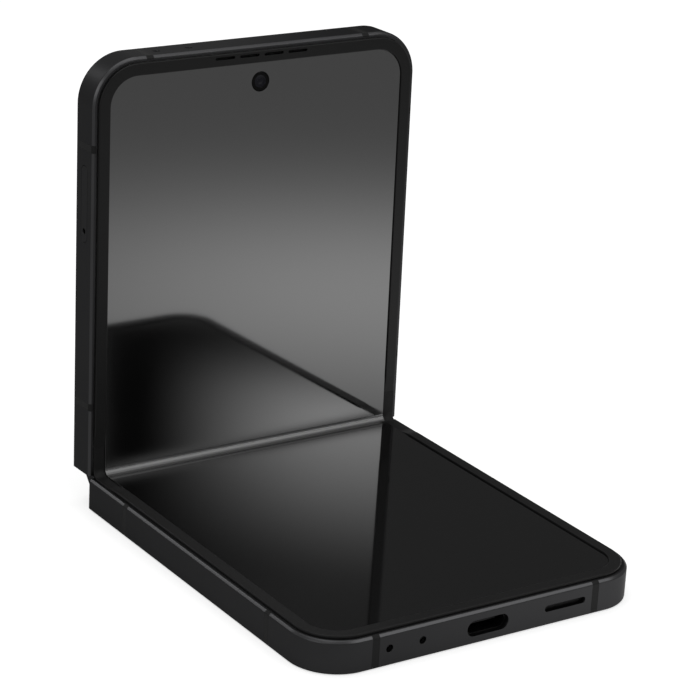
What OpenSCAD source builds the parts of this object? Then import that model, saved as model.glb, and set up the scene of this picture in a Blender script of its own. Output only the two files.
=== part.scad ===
// Foldable phone with an inner display that folds across the middle, half open.
// Millimetres, +Z up. The lower half lies flat and the upper half stands up from it.
// The origin is the middle of the lower half's back face.
//
// Every piece is drawn in a half frame: x across the phone, y away from the fold line,
// z up from the metal rim towards the viewer of the display, so a half fills z = -body_t to 0.
// The lower half is that frame mirrored in y. The spine has the fold line in its middle.

/* [Body] */
// Width across both side walls
body_w = 71.9; // [68:0.1:78]
// Length of one half from its hinge end to its far end
half_l = 82; // [80:0.5:90]
// Thickness of one half from its back face to its metal rim
body_t = 6.35; // [6.2:0.05:7.2]
// Radius of the four far corners
corner_r = 9.2; // [8:0.1:11]
// Thickness of the metal side wall
wall_t = 1; // [0.9:0.05:1.2]
// Chamfer along the metal rim
rim_chamfer = 0.5; // [0.2:0.05:0.7]
// Rounding where the side wall meets the back
back_round = 0.4; // [0.2:0.05:0.6]
// Width of the metal lip round the back glass
back_lip = 0.75; // [0.7:0.05:1.2]
// Thickness of the back glass
glass_t = 0.55; // [0.4:0.05:0.6]
// Width of the ledge that carries the back glass
ledge_w = 2.2; // [1.6:0.1:3]
// Thickness of the ledge that carries the back glass
ledge_t = 0.6; // [0.4:0.05:0.8]
// Thickness of the midplate
midplate_t = 0.7; // [0.5:0.05:0.8]
// Angle between the two displays, 0 closed and 180 flat open
fold_angle = 91; // [20:1:180]

/* [Display] */
// Gap between the metal rim and the bezel
bezel_gap = 0.08; // [0.05:0.01:0.2]
// Width of the bezel
bezel_w = 2.35; // [1.8:0.05:3]
// Height of the bezel above the metal rim
bezel_h = 0.55; // [0.35:0.05:0.6]
// Small chamfer on the bezel's outer edge
bezel_chamfer = 0.15; // [0.05:0.05:0.2]
// Height of the display surface above the metal rim
display_h = 0.25; // [0.1:0.05:0.3]
// Thickness of the display
display_t = 0.35; // [0.25:0.05:0.4]
// Distance from the hinge end to the start of the bezel
fold_zone = 5.9; // [5.6:0.1:7]
// Distance from the fold line to where the display starts to bend
bend_start = 3.2; // [2.6:0.1:4]
// Height of the caps beside the fold above the metal rim
cap_h = 0.1; // [0:0.05:0.2]
// Length of one earpiece slot
ear_slot_l = 4.25; // [3:0.05:5]
// Width of one earpiece slot
ear_slot_w = 0.5; // [0.3:0.05:0.7]
// Distance between the middles of two earpiece slots
ear_slot_pitch = 5.4; // [5.2:0.1:6]
// Number of earpiece slots
ear_slots = 4; // [2:1:5]
// Distance from the far end to the earpiece slots
ear_slot_inset = 1.9; // [1.6:0.05:2.6]
// Diameter of the hole in the display for the front camera
camera_hole_d = 3.9; // [3:0.1:5]
// Distance from the far end to the front camera
camera_inset = 7.2; // [6:0.1:9]

/* [Openings] */
// Width of the charging socket's opening in the frame
socket_w = 8.95; // [8.6:0.05:9.6]
// Height of the charging socket's opening in the frame
socket_h = 3; // [2.7:0.05:3.3]
// Height of the socket's middle above the back face
socket_z = 3; // [2.8:0.05:3.3]
// Inner width of the socket shell
shell_w = 8.34; // [8.3:0.01:8.4]
// Inner height of the socket shell
shell_h = 2.56; // [2.5:0.01:2.6]
// Wall of the socket shell
shell_t = 0.25; // [0.2:0.01:0.3]
// Depth of the socket shell
shell_l = 7.4; // [6.5:0.1:9]
// Length of the socket's tongue
tongue_l = 4.45; // [4:0.05:5]
// Width of the socket's tongue
tongue_w = 6.69; // [6:0.01:7]
// Thickness of the socket's tongue
tongue_t = 0.7; // [0.5:0.05:0.9]
// Distance from the middle line to the loudspeaker slot's middle
speaker_x = 17.2; // [16:0.1:18.5]
// Length of the loudspeaker slot
speaker_l = 9.1; // [7:0.1:10]
// Height of the loudspeaker slot
speaker_h = 1.2; // [0.8:0.1:1.6]
// Height of the microphone holes and the loudspeaker slot above the back face
hole_z = 3.3; // [3:0.05:3.6]
// Diameter of a microphone hole
mic_d = 1.4; // [0.8:0.1:1.6]
// Distances from the middle line to the microphone holes
mic_x1 = 21.1; // [19:0.1:22]
// The nearer one of the two
mic_x2 = 14.1; // [12:0.1:16]
// Width of an antenna band
band_w = 1.5; // [1:0.1:2]
// Depth of an antenna band into the wall
band_t = 0.75; // [0.4:0.05:0.8]
// Distance from the middle line to the bands in the far wall
band_x = 24; // [23.5:0.1:25]
// Distance from the hinge end to the first band in the side wall
band_y1 = 14.1; // [12:0.1:18]
// Distance from the far end to the second band in the side wall
band_far = 16.8; // [14:0.1:19]

/* [Hinge] */
// Distance from the fold line to each of the two pivot lines, which lie in the rim plane
pivot_y = 0.7; // [0.65:0.05:0.8]
// Distance from the fold line to each hinge end when open flat
end_gap = 0.05; // [0.03:0.01:0.1]
// Depth of the spine below the rim plane when open flat
spine_depth = 3.4; // [3.3:0.05:3.6]
// Depth of the spine's two long edges below the rim plane when open flat
spine_top = 0.65; // [0.6:0.05:0.75]
// Radius of the spine's outer surface
spine_r = 18; // [12:1:40]
// Wall of the spine cover
spine_wall = 0.45; // [0.35:0.05:0.5]
// Gap between the spine's ends and the side walls
spine_side_gap = 0.12; // [0.08:0.01:0.2]
// Width of the metal strip across the back at the hinge end
strip_w = 1.6; // [1.2:0.1:2.5]
// Thickness of the metal strip across the back at the hinge end
strip_t = 0.9; // [0.7:0.05:1]
// Inner radius of the curved feet
foot_r = 2.2; // [2.1:0.05:2.25]
// Thickness of the curved feet
foot_t = 0.45; // [0.3:0.05:0.45]
// Width of one curved foot along the hinge
foot_w = 4; // [3:0.1:5]
// How far a curved foot reaches round its pivot line, in degrees
foot_sweep = 135; // [125:1:140]
// Distance from a pivot line to the sync arm's shaft
arm_r = 2.2; // [2.15:0.01:2.25]
// Width of a sync arm along the hinge
arm_w = 3.3; // [2.5:0.1:4]
// How much lower the idler gears sit than the sync arm's shaft
idler_drop = 0.35; // [0.2:0.05:0.4]
// Teeth of each gear
gear_teeth = 10; // [8:2:12]
// Radius of the gear shafts
shaft_r = 0.28; // [0.2:0.01:0.32]
// Clearance of what turns or slides
run_gap = 0.04; // [0.03:0.01:0.06]
// Distance from the middle line to each hinge mechanism
module_x = 16; // [14:0.5:17.5]
// Wall between the bays of a hinge mechanism
cheek_w = 1; // [0.8:0.1:1.2]
// Distance from the fold line to the sync arm's slot pin when open flat
pin_y = 10.3; // [10.2:0.05:10.6]
// Depth of the slot pin below the rim plane when open flat
pin_depth = 1.75; // [1.7:0.05:1.8]
// Radius of the slot pin
pin_r = 0.3; // [0.2:0.02:0.34]

/* [Keys and tray] */
// Length of the power key
power_l = 11; // [8:0.5:13]
// Distance from the far end to the power key's middle
power_far = 49; // [48:0.5:56]
// Length of the volume key
volume_l = 20; // [15:0.5:21]
// Distance from the far end to the volume key's middle
volume_far = 30; // [29.5:0.1:30.5]
// Height of a key
key_h = 2.2; // [1.6:0.1:2.6]
// How far a key stands out of the wall
key_out = 0.35; // [0.2:0.05:0.5]
// Travel of the power key
key_travel = 0.25; // [0.15:0.05:0.3]
// Length of the tray's outer face
tray_l = 15; // [14.5:0.1:16]
// Height of the tray's outer face
tray_h = 2.4; // [2:0.1:2.6]
// How far the tray reaches into the body
tray_in = 15; // [13:0.5:17]
// Distance from the far end to the tray's middle
tray_far = 28; // [27:0.5:28.5]
// Diameter of the ejector hole
eject_d = 1.1; // [0.8:0.1:1.2]
// Distance from the tray's middle to the ejector hole
eject_y = 5.3; // [4.5:0.1:5.8]
// Radius of a rear camera's ring
ring_r = 5.6; // [5:0.1:6]
// How far a rear camera's ring stands out of the back
ring_out = 0.9; // [0.4:0.1:1.5]
// Distance between the middles of the two rear cameras
ring_pitch = 16; // [15:0.5:17]
// Thickness of the batteries
battery_t = 3.5; // [2.5:0.1:3.6]
// Radius of a screw's head
screw_r = 0.9; // [0.7:0.05:1]

/* [Hidden] */
$fn = 64;
seat = 0.05;
far = end_gap + half_l;
half_w = body_w / 2;
turn = (180 - fold_angle) / 2;

// What lies below what, from the display down
mid_top = -(display_t - display_h) - 0.02;
mid_bot = mid_top - midplate_t;
wing_top = mid_top - 0.08;
wing_t = 0.3;
pad_top = mid_bot - seat;
pad_bot = pad_top - 0.53;
board_t = 0.6;
board_top = mid_bot - 0.33;
board_bot = board_top - board_t;
battery_top = mid_bot - 0.28;
glass_in = -body_t + glass_t;
bezel_in = wall_t + bezel_gap + bezel_w;
mid_y = fold_zone + 0.7;
inside_y = pin_y + 2;
hole_depth = hole_z - body_t;
socket_depth = socket_z - body_t;

// The spine seen end on: a shallow arc with a shoulder round each pivot line, which the
// hollow hinge end of a half sweeps round
spine_reach = body_t - strip_t - 0.22;
sweep_r = spine_reach + 0.12;
spine_half = pivot_y + sqrt(spine_reach * spine_reach - spine_top * spine_top);
spine_len = body_w - 2 * wall_t - 2 * spine_side_gap;

// The sync gears: two arm gears and two idlers in a row, all of one size
arm_y = pivot_y + arm_r * cos(45);
arm_z = -arm_r * sin(45);
gear_r = (-2 * arm_y + sqrt(4 * arm_y * arm_y + 12 * (arm_y * arm_y + idler_drop * idler_drop))) / 6;
idler_z = arm_z - idler_drop;
gear_module = 2 * gear_r / gear_teeth;
mesh_angle = atan2(idler_z - arm_z, gear_r - arm_y);
idler_phase = 0;
upper_idler_phase = idler_phase + 180 + 180 / gear_teeth;

// Places along a hinge mechanism, from its inner end
foot1_x = module_x + cheek_w;
bay_x = foot1_x + foot_w + cheek_w;
bay_w = arm_w + 0.2;
foot2_x = bay_x + bay_w + cheek_w;
module_end = foot2_x + foot_w + cheek_w;
flex_w = 16;

// Places that keep their distance from the far end
power_y = half_l - power_far;
volume_y = half_l - volume_far;
tray_y = half_l - tray_far;
band_places = [band_y1, half_l - band_far];
mic_places = [mic_x1, mic_x2];
camera_y = far - camera_inset;
rear_y = far - 16;
battery_far_low = far - 26.05;
battery_far_up = far - 41.05;
boards_y = battery_far_up + 3;

// Places that keep their distance from a side wall
rear_x = half_w - 13.95;
motor_x = half_w - 13.95;
shield_x = half_w - 19.95;
board_screw_x = half_w - 8.95;

// Places at rest

module at_lower() translate([0, half_l / 2 + end_gap, body_t]) children();
module turned(y, z, a) translate([0, y, z]) rotate([a, 0, 0]) translate([0, -y, -z]) children();
module at_spine() at_lower() turned(-pivot_y, 0, turn) children();
module lower_half() at_lower() mirror([0, 1, 0]) children();
module upper_half() at_spine() turned(pivot_y, 0, turn) children();
module lower_arm() at_spine() mirror([0, 1, 0]) turned(arm_y, arm_z, turn) children();
module upper_arm() at_spine() turned(arm_y, arm_z, turn) children();
module both_sides() for (side = [0, 1]) mirror([side, 0, 0]) children();

// Helpers

// A section in y and z carried along x from x0 to x1
module along_x(x0, x1) translate([x0, 0, 0]) rotate([90, 0, 90]) linear_extrude(x1 - x0) children();

// A shaft along x
module shaft(x0, x1, y, z, r) along_x(x0, x1) translate([y, z]) circle(r);

// A box given by its lowest and highest corner
module box(low, high) translate(low) cube(high - low);

// A slot with round ends
module slot(l, h) {
    square([l - h, h], center = true);
    for (end = [-1, 1]) translate([end * (l - h) / 2, 0]) circle(d = h);
}

// Outline of a half seen from the front, set in from its walls, from y0 to the far end
module outline(inset, y0) {
    r = corner_r - inset;
    w = body_w - 2 * inset;
    y1 = far - inset;
    translate([-w / 2, y0]) square([w, y1 - r - y0]);
    translate([-w / 2 + r, y0]) square([w - 2 * r, y1 - y0]);
    for (side = [-1, 1]) translate([side * (w / 2 - r), y1 - r]) circle(r);
}

module plate(inset, y0, z0, t) translate([0, 0, z0]) linear_extrude(t) outline(inset, y0);

// A wall section carried along both sides, the far end and the two corners between them.
// Its x is the distance outward from the middle of a corner.
module wall_along(y0) {
    cx = half_w - corner_r;
    cy = far - corner_r;
    both_sides() {
        translate([cx, cy, 0]) rotate([90, 0, 0]) linear_extrude(cy - y0) children();
        translate([cx, cy, 0]) rotate_extrude(angle = 90) children();
    }
    translate([-cx, cy, 0]) rotate([90, 0, 90]) linear_extrude(2 * cx) children();
}

// A ring sector in y and z, from angle a0 to angle a1, which lie less than 180 degrees apart
module arc_band(r0, r1, a0, a1) {
    reach = 3 * r1;
    middle = (a0 + a1) / 2;
    intersection() {
        difference() {
            circle(r1);
            circle(r0);
        }
        polygon([[0, 0], reach * [cos(a0), sin(a0)], reach * [cos(middle), sin(middle)],
            reach * [cos(a1), sin(a1)]]);
    }
}

// A hole through the far wall
module far_hole(x, depth) {
    translate([x, far - 2 * wall_t, depth]) rotate([-90, 0, 0]) linear_extrude(3 * wall_t) children();
}

// A hole through the right side wall
module side_hole(y, depth) {
    translate([half_w - 2 * wall_t, y + end_gap, depth]) rotate([90, 0, 90])
        linear_extrude(3 * wall_t) children();
}

// Frame

module frame_section() {
    r = corner_r;
    z0 = -body_t;
    ledge_z = z0 + glass_t + seat;
    polygon([[r - back_lip, z0], [r - back_round, z0], [r, z0 + back_round], [r, -rim_chamfer],
        [r - rim_chamfer, 0], [r - wall_t, 0], [r - wall_t, ledge_z + ledge_t],
        [r - ledge_w, ledge_z + ledge_t], [r - ledge_w, ledge_z], [r - back_lip, ledge_z]]);
    translate([r - back_round, z0 + back_round]) circle(back_round);
}

module frame_blank() {
    side = half_w - wall_t;
    difference() {
        union() {
            wall_along(end_gap) frame_section();
            box([-side - 0.1, end_gap, -body_t], [side + 0.1, end_gap + strip_w, -body_t + strip_t]);
        }
        shaft(-side, side, pivot_y, 0, sweep_r);
    }
}

module band_boxes() {
    both_sides() {
        for (y = band_places)
            translate([half_w - band_t, y + end_gap - band_w / 2, -body_t - 1])
                cube([2 * band_t, band_w, body_t + 2]);
        translate([band_x - band_w / 2, far - band_t, -body_t - 1])
            cube([band_w, 2 * band_t, body_t + 2]);
    }
}

module mic_holes() {
    for (x = mic_places) far_hole(-x, hole_depth) circle(d = mic_d);
}

module lower_frame() {
    color([0.16, 0.16, 0.17]) lower_half() difference() {
        frame_blank();
        band_boxes();
        mic_holes();
        far_hole(0, socket_depth) slot(socket_w, socket_h);
        far_hole(speaker_x, hole_depth) slot(speaker_l, speaker_h);
    }
}

module upper_frame() {
    color([0.16, 0.16, 0.17]) upper_half() difference() {
        frame_blank();
        band_boxes();
        mic_holes();
        mirror([1, 0, 0]) side_hole(tray_y, hole_depth) slot(tray_l, tray_h);
        side_hole(power_y, hole_depth) slot(power_l, key_h);
        side_hole(volume_y, hole_depth) slot(volume_l, key_h);
    }
}

module antenna_bands() {
    intersection() {
        frame_blank();
        band_boxes();
    }
}

module lower_antenna_bands() color([0.11, 0.11, 0.12]) lower_half() antenna_bands();
module upper_antenna_bands() color([0.11, 0.11, 0.12]) upper_half() antenna_bands();

// Glass, bezel and display

module back_glass() plate(back_lip + seat, end_gap + strip_w + seat, -body_t, glass_t);

module lower_back_glass() color([0.07, 0.07, 0.08]) lower_half() back_glass();

module upper_back_glass() {
    color([0.07, 0.07, 0.08]) upper_half() difference() {
        back_glass();
        for (i = [0, 1])
            translate([rear_x - i * ring_pitch, rear_y, -body_t - 1])
                cylinder(r = ring_r + seat, h = glass_t + 2);
        translate([flash_x(), rear_y, -body_t - 1]) cylinder(r = flash_r() + seat, h = glass_t + 2);
    }
}

module bezel() {
    r1 = corner_r - wall_t - bezel_gap;
    r0 = r1 - bezel_w;
    bottom = mid_top + 0.02;
    wall_along(fold_zone + end_gap)
        polygon([[r0, bottom], [r1, bottom], [r1, bezel_h - bezel_chamfer],
            [r1 - bezel_chamfer, bezel_h], [r0, bezel_h]]);
}

module lower_bezel() color([0.1, 0.1, 0.1]) lower_half() bezel();

module ear_slot_boxes(z0, z1) {
    for (i = [0 : ear_slots - 1])
        translate([(i - (ear_slots - 1) / 2) * ear_slot_pitch, far - ear_slot_inset, z0])
            linear_extrude(z1 - z0) slot(ear_slot_l, ear_slot_w);
}

module upper_bezel() {
    color([0.1, 0.1, 0.1]) upper_half() difference() {
        bezel();
        ear_slot_boxes(-1, bezel_h + 1);
    }
}

module display() {
    plate(bezel_in + seat, fold_zone + end_gap, display_h - display_t, display_t);
}

module lower_display() color([0.05, 0.05, 0.06]) lower_half() display();

module upper_display() {
    color([0.05, 0.05, 0.06]) upper_half() difference() {
        display();
        translate([0, camera_y, -1]) cylinder(d = camera_hole_d, h = 2);
    }
}

// How a thin layer bends over the hinge: the layer turns with the spine bit by bit between
// bend_start and the fold line, and with the upper half from there on
function ease(t) = t * t * (3 - 2 * t);
function spin(p, a) = [p[0] * cos(a) - p[1] * sin(a), p[0] * sin(a) + p[1] * cos(a)];
function about(c, p, a) = c + spin(p - c, a);
function bent(p) =
    let (share = ease(max(0, min(1, 1 + p[0] / bend_start))),
         share2 = ease(max(0, min(1, p[0] / bend_start))))
    about([-pivot_y, 0], about([pivot_y, 0], p, turn * share2), turn * share);

// A layer between heights z0 and z1 that crosses the fold from -reach to reach
module bent_layer(reach, z0, z1, width, steps) {
    along_x(-width / 2, width / 2)
        polygon([for (i = [-steps : steps]) bent([i * reach / steps, z1]),
            for (i = [steps : -1 : -steps]) bent([i * reach / steps, z0])]);
}

module display_fold() {
    color([0.05, 0.05, 0.06]) at_lower()
        bent_layer(fold_zone + end_gap - seat, display_h - display_t, display_h,
            body_w - 2 * bezel_in - 2 * seat, 16);
}

module hinge_cable() {
    color([0.5, 0.3, 0.1]) at_lower()
        bent_layer(inside_y - 0.5, wing_top - 0.25, wing_top - 0.1, flex_w, 24);
}

module fold_caps() {
    x0 = half_w - bezel_in + seat;
    x1 = half_w - wall_t - bezel_gap;
    both_sides()
        box([x0, 1.3, wing_top + 0.02], [x1, fold_zone + end_gap - seat, cap_h]);
}

module lower_fold_caps() color([0.06, 0.06, 0.06]) lower_half() fold_caps();
module upper_fold_caps() color([0.06, 0.06, 0.06]) upper_half() fold_caps();

// Midplate and hinge plate

hinge_screw_x = [11.5, 31];
hinge_screw_y = 8.8;
lower_screw_places = [[-board_screw_x - 1, battery_far_low + 6.5], [4.5, battery_far_low + 6.5],
    [-7.5, far - 4.55]];
upper_screw_places = [[-board_screw_x, boards_y + 1.5], [board_screw_x, boards_y + 1.5],
    [10.5, far - 6.05]];
screw_shank = 0.45;

module midplate(screws) {
    difference() {
        union() {
            plate(wall_t + seat, mid_y, mid_bot, midplate_t);
            for (p = screws) translate([p[0], p[1], board_top + 0.02])
                cylinder(r = 1.2, h = mid_bot - board_top);
        }
        box([-flex_w / 2 - 0.2, mid_y - 1, wing_top - 0.3], [flex_w / 2 + 0.2, inside_y, 1]);
        for (p = screws) translate([p[0], p[1], board_top - 1])
            cylinder(r = screw_shank + seat, h = 1 + mid_bot - board_top + midplate_t / 2);
        both_sides() for (x = hinge_screw_x) translate([x, hinge_screw_y, mid_bot - 1])
            cylinder(r = screw_shank + seat, h = 1 + midplate_t / 2);
    }
}

module lower_midplate() color([0.35, 0.35, 0.37]) lower_half() midplate(lower_screw_places);

module upper_midplate() {
    color([0.35, 0.35, 0.37]) upper_half() difference() {
        midplate(upper_screw_places);
        ear_slot_boxes(-2, 1);
        translate([0, camera_y, -2]) cylinder(d = camera_hole_d, h = 3);
    }
}

// The plate that joins a half to the hinge: a thin wing under the display, a pad screwed under
// the midplate, feet curved round the pivot line, and ears with a curved slot for the arm's pin
module hinge_plate(foot_x) {
    width = half_w - wall_t - bezel_gap;
    step_y = fold_zone + 0.2;
    pad_y = inside_y - 1;
    foot_end = pivot_y + foot_r + foot_t;
    difference() {
        union() {
            box([-width, bend_start, wing_top - wing_t], [width, step_y + 0.4, wing_top]);
            box([-width, step_y, pad_bot], [width, step_y + 0.4, wing_top]);
            box([-width, step_y, pad_bot], [width, pad_y, pad_top]);
        }
        both_sides()
            box([bay_x, bend_start - 1, pad_bot - 1], [bay_x + bay_w, step_y + 0.6, 1]);
        box([-flex_w / 2 - 0.2, bend_start - 1, wing_top - 0.3], [flex_w / 2 + 0.2, pad_y + 1, 1]);
        both_sides() for (x = hinge_screw_x) translate([x, hinge_screw_y, pad_bot - 1])
            cylinder(r = screw_shank + seat, h = 3);
    }
    both_sides() {
        along_x(foot_x + run_gap, foot_x + foot_w - run_gap) {
            translate([pivot_y, 0]) arc_band(foot_r, foot_r + foot_t, -6, -foot_sweep);
            translate([foot_end - foot_t, wing_top - wing_t])
                square([bend_start + 0.3 - foot_end + foot_t, wing_t]);
        }
        ear_with_slot();
    }
}

module ear_with_slot() {
    c = [pivot_y + pin_y - arm_y, -pin_depth - arm_z];
    slot_r = pin_r + run_gap;
    ear_x = bay_x + bay_w + 0.1;
    ear_low = c[1] - arm_r - slot_r - 0.4;
    along_x(ear_x, ear_x + cheek_w) difference() {
        translate([fold_zone + 0.4, ear_low])
            square([inside_y - 1 - fold_zone - 0.4, pad_top - 0.1 - ear_low]);
        translate(c) {
            arc_band(arm_r - slot_r, arm_r + slot_r, -45, -135);
            for (a = [-45, -135]) translate(arm_r * [cos(a), sin(a)]) circle(slot_r);
        }
    }
}

module lower_hinge_plate() color([0.55, 0.55, 0.57]) lower_half() hinge_plate(foot1_x);
module upper_hinge_plate() color([0.55, 0.55, 0.57]) upper_half() hinge_plate(foot2_x);

// A screw from below: its head seats at z, its shank goes up
module screw(z, grip) {
    translate([0, 0, z - 0.4]) cylinder(r = screw_r, h = 0.4);
    translate([0, 0, z - 0.1]) cylinder(r = screw_shank, h = grip + 0.1);
}

module hinge_screws() {
    both_sides() for (x = hinge_screw_x)
        translate([x, hinge_screw_y, 0]) screw(pad_bot, mid_bot - pad_bot + midplate_t / 2 - 0.1);
}

module lower_hinge_screws() color([0.6, 0.6, 0.6]) lower_half() hinge_screws();
module upper_hinge_screws() color([0.6, 0.6, 0.6]) upper_half() hinge_screws();

module board_screws(places) {
    for (p = places)
        translate([p[0], p[1], 0]) screw(board_bot, mid_bot - board_bot + midplate_t / 2 - 0.1);
}

module lower_board_screws() color([0.6, 0.6, 0.6]) lower_half() board_screws(lower_screw_places);
module upper_board_screws() color([0.6, 0.6, 0.6]) upper_half() board_screws(upper_screw_places);

// Spine

// Section of the spine, set in by inset from its outer surface, below a top line
module spine_section(inset, top) {
    intersection() {
        translate([0, spine_r - spine_depth]) circle(spine_r - inset, $fn = 128);
        union() for (side = [0, 1]) mirror([side, 0]) intersection() {
            translate([pivot_y, 0]) circle(spine_reach - inset, $fn = 128);
            translate([0, -spine_depth - 1]) square([2 * spine_half, spine_depth + 1 - top]);
        }
    }
}

module spine_cover() {
    end = spine_len / 2;
    color([0.14, 0.14, 0.15]) at_spine() {
        along_x(-end, end) difference() {
            spine_section(0, spine_top);
            spine_section(spine_wall, 0);
        }
        both_sides() along_x(end - 0.6, end) spine_section(0, spine_top);
    }
}

module foot_groove(x, y) {
    along_x(x - seat, x + foot_w + seat) translate([y, 0]) difference() {
        circle(foot_r + foot_t + run_gap);
        circle(foot_r - run_gap);
    }
}

module hinge_blocks() {
    color([0.45, 0.45, 0.48]) at_spine() both_sides() difference() {
        along_x(module_x, module_end) spine_section(spine_wall + 0.02, spine_top);
        foot_groove(foot1_x, -pivot_y);
        foot_groove(foot2_x, pivot_y);
        box([bay_x, -spine_half, -spine_depth - 1], [bay_x + bay_w, spine_half, 1]);
        for (side = [-1, 1]) {
            shaft(bay_x - 0.7, bay_x + bay_w + 0.7, side * arm_y, arm_z, shaft_r + run_gap);
            shaft(bay_x - 0.7, bay_x + bay_w + 0.7, side * gear_r, idler_z, shaft_r + run_gap);
        }
    }
}

// Gears

module gear(phase) {
    tip = gear_r + 0.65 * gear_module;
    root = gear_r - 0.95 * gear_module;
    pitch = 360 / gear_teeth;
    polygon([for (i = [0 : gear_teeth - 1], corner = [[root, -0.3], [tip, -0.12], [tip, 0.12],
            [root, 0.3]])
        let (a = phase + (i + corner[1]) * pitch) corner[0] * [cos(a), sin(a)]]);
}

module gear_on_shaft(y, z, phase) {
    along_x(bay_x + 0.1, bay_x + 0.1 + arm_w) translate([y, z]) gear(phase);
    shaft(bay_x - 0.6, bay_x + bay_w + 0.6, y, z, shaft_r);
}

// The arm and its gear, which meshes with an idler of the given phase
module sync_arm(phase) {
    pin_z = -pin_depth;
    arm_top = wing_top - 0.02;
    drop_y = fold_zone + 0.2;
    gear_on_shaft(arm_y, arm_z, 2 * mesh_angle + 180 + 180 / gear_teeth - phase);
    along_x(bay_x + 0.1, bay_x + 0.1 + arm_w)
        polygon([[arm_y, arm_z + 0.5], [arm_y + 2, arm_top], [drop_y + 0.4, arm_top],
            [drop_y + 0.4, pin_z + 0.25], [pin_y, pin_z + 0.25], [pin_y + 0.4, pin_z],
            [pin_y, pin_z - 0.25], [drop_y, pin_z - 0.25], [drop_y, arm_top - 0.33],
            [arm_y + 2.2, arm_top - 0.33], [arm_y + 0.3, arm_z - 0.3], [arm_y, arm_z - 0.3]]);
    shaft(bay_x + arm_w, bay_x + bay_w + 0.1 + cheek_w, pin_y, pin_z, pin_r);
}

module lower_sync_arms() {
    color([0.7, 0.7, 0.72]) lower_arm() both_sides() sync_arm(180 - idler_phase);
}

module upper_sync_arms() {
    color([0.7, 0.7, 0.72]) upper_arm() both_sides() sync_arm(upper_idler_phase);
}

module lower_idlers() {
    color([0.6, 0.55, 0.4]) at_spine() turned(-gear_r, idler_z, turn)
        both_sides() gear_on_shaft(-gear_r, idler_z, idler_phase);
}

module upper_idlers() {
    color([0.6, 0.55, 0.4]) at_spine() turned(gear_r, idler_z, -turn)
        both_sides() gear_on_shaft(gear_r, idler_z, upper_idler_phase);
}

// Inside the lower half

module rounded_block(low, high, r) {
    w = high - low;
    translate([(low[0] + high[0]) / 2, (low[1] + high[1]) / 2, low[2]]) linear_extrude(w[2]) {
        square([w[0] - 2 * r, w[1]], center = true);
        square([w[0], w[1] - 2 * r], center = true);
        for (sx = [-1, 1], sy = [-1, 1])
            translate([sx * (w[0] / 2 - r), sy * (w[1] / 2 - r)]) circle(r);
    }
}

module lower_battery() {
    side = half_w - 5;
    color([0.2, 0.2, 0.22]) lower_half()
        rounded_block([-side, inside_y, battery_top - battery_t], [side, battery_far_low, battery_top],
            1.2);
}

module charging_coil() {
    coil_r = (battery_far_low - inside_y) / 2 - 2.85;
    color([0.6, 0.35, 0.2]) lower_half()
        translate([0, (inside_y + battery_far_low) / 2, battery_top - battery_t - 0.4])
            difference() {
                cylinder(r = coil_r, h = 0.35);
                translate([0, 0, -1]) cylinder(r = coil_r - 10, h = 3);
            }
}

module charging_board() {
    color([0.1, 0.3, 0.15]) lower_half() difference() {
        intersection() {
            plate(wall_t + 1, battery_far_low + 4, board_bot, board_t);
            box([-half_w, 0, -body_t], [7.5, far - 2 * wall_t - 0.3, 0]);
        }
        for (p = lower_screw_places)
            translate([p[0], p[1], -body_t]) cylinder(r = screw_shank + seat, h = body_t);
    }
}

module socket_shell() {
    back = far - wall_t - seat;
    color([0.6, 0.6, 0.62]) lower_half() translate([0, back, socket_depth]) rotate([90, 0, 0])
        difference() {
            linear_extrude(shell_l) slot(shell_w + 2 * shell_t, shell_h + 2 * shell_t);
            translate([0, 0, -1]) linear_extrude(shell_l + 1 - shell_t) slot(shell_w, shell_h);
        }
}

module socket_tongue() {
    back = far - wall_t - seat - shell_l + shell_t;
    color([0.12, 0.12, 0.12]) lower_half()
        box([-tongue_w / 2, back, socket_depth - tongue_t / 2],
            [tongue_w / 2, back + tongue_l + 1.2, socket_depth + tongue_t / 2]);
}

module loudspeaker() {
    color([0.15, 0.15, 0.15]) lower_half() {
        intersection() {
            plate(wall_t + 0.5, 0, -body_t + 1.3, body_t);
            box([9, battery_far_low + 5, -body_t + 1.3], [half_w - wall_t - 0.5, far - 3, mid_bot - 0.2]);
        }
        box([speaker_x - speaker_l / 2, far - 3.2, hole_depth - speaker_h / 2 - 0.3],
            [speaker_x + speaker_l / 2, far - wall_t - seat, hole_depth + speaker_h / 2 + 0.3]);
    }
}

module microphones() {
    for (x = mic_places)
        box([-x - 1.4, far - wall_t - 3.2, hole_depth - 0.6], [-x + 1.4, far - wall_t - 0.2, board_bot]);
}

module lower_microphones() color([0.7, 0.65, 0.4]) lower_half() microphones();

module vibration_motor() {
    color([0.65, 0.65, 0.67]) lower_half()
        translate([-motor_x, battery_far_low + 13, board_bot - 3]) cylinder(r = 4.5, h = 3);
}

// Inside the upper half

module upper_battery() {
    side = half_w - 5;
    color([0.2, 0.2, 0.22]) upper_half()
        rounded_block([-side, inside_y, battery_top - battery_t], [side, battery_far_up, battery_top],
            1.2);
}

module camera_windows(gap) {
    for (i = [0, 1])
        translate([rear_x - i * ring_pitch, rear_y, -body_t])
            translate([-4.5 - gap, -4.5 - gap, 0]) cube([9 + 2 * gap, 9 + 2 * gap, body_t]);
}

module main_board() {
    color([0.1, 0.3, 0.15]) upper_half() difference() {
        plate(wall_t + 3, boards_y, board_bot, board_t);
        camera_windows(0.3);
        box([-4, camera_y - 4, -body_t], [4, far, 0]);
        for (p = upper_screw_places)
            translate([p[0], p[1], -body_t]) cylinder(r = screw_shank + seat, h = body_t);
    }
}

module board_shields() {
    color([0.7, 0.7, 0.7]) upper_half() {
        box([-shield_x, boards_y + 4, board_bot - 1.6], [-1, rear_y - 6.05, board_bot]);
        box([1, boards_y + 4, board_bot - 1.6], [rear_x, rear_y - 7.05, board_bot]);
    }
}

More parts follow.
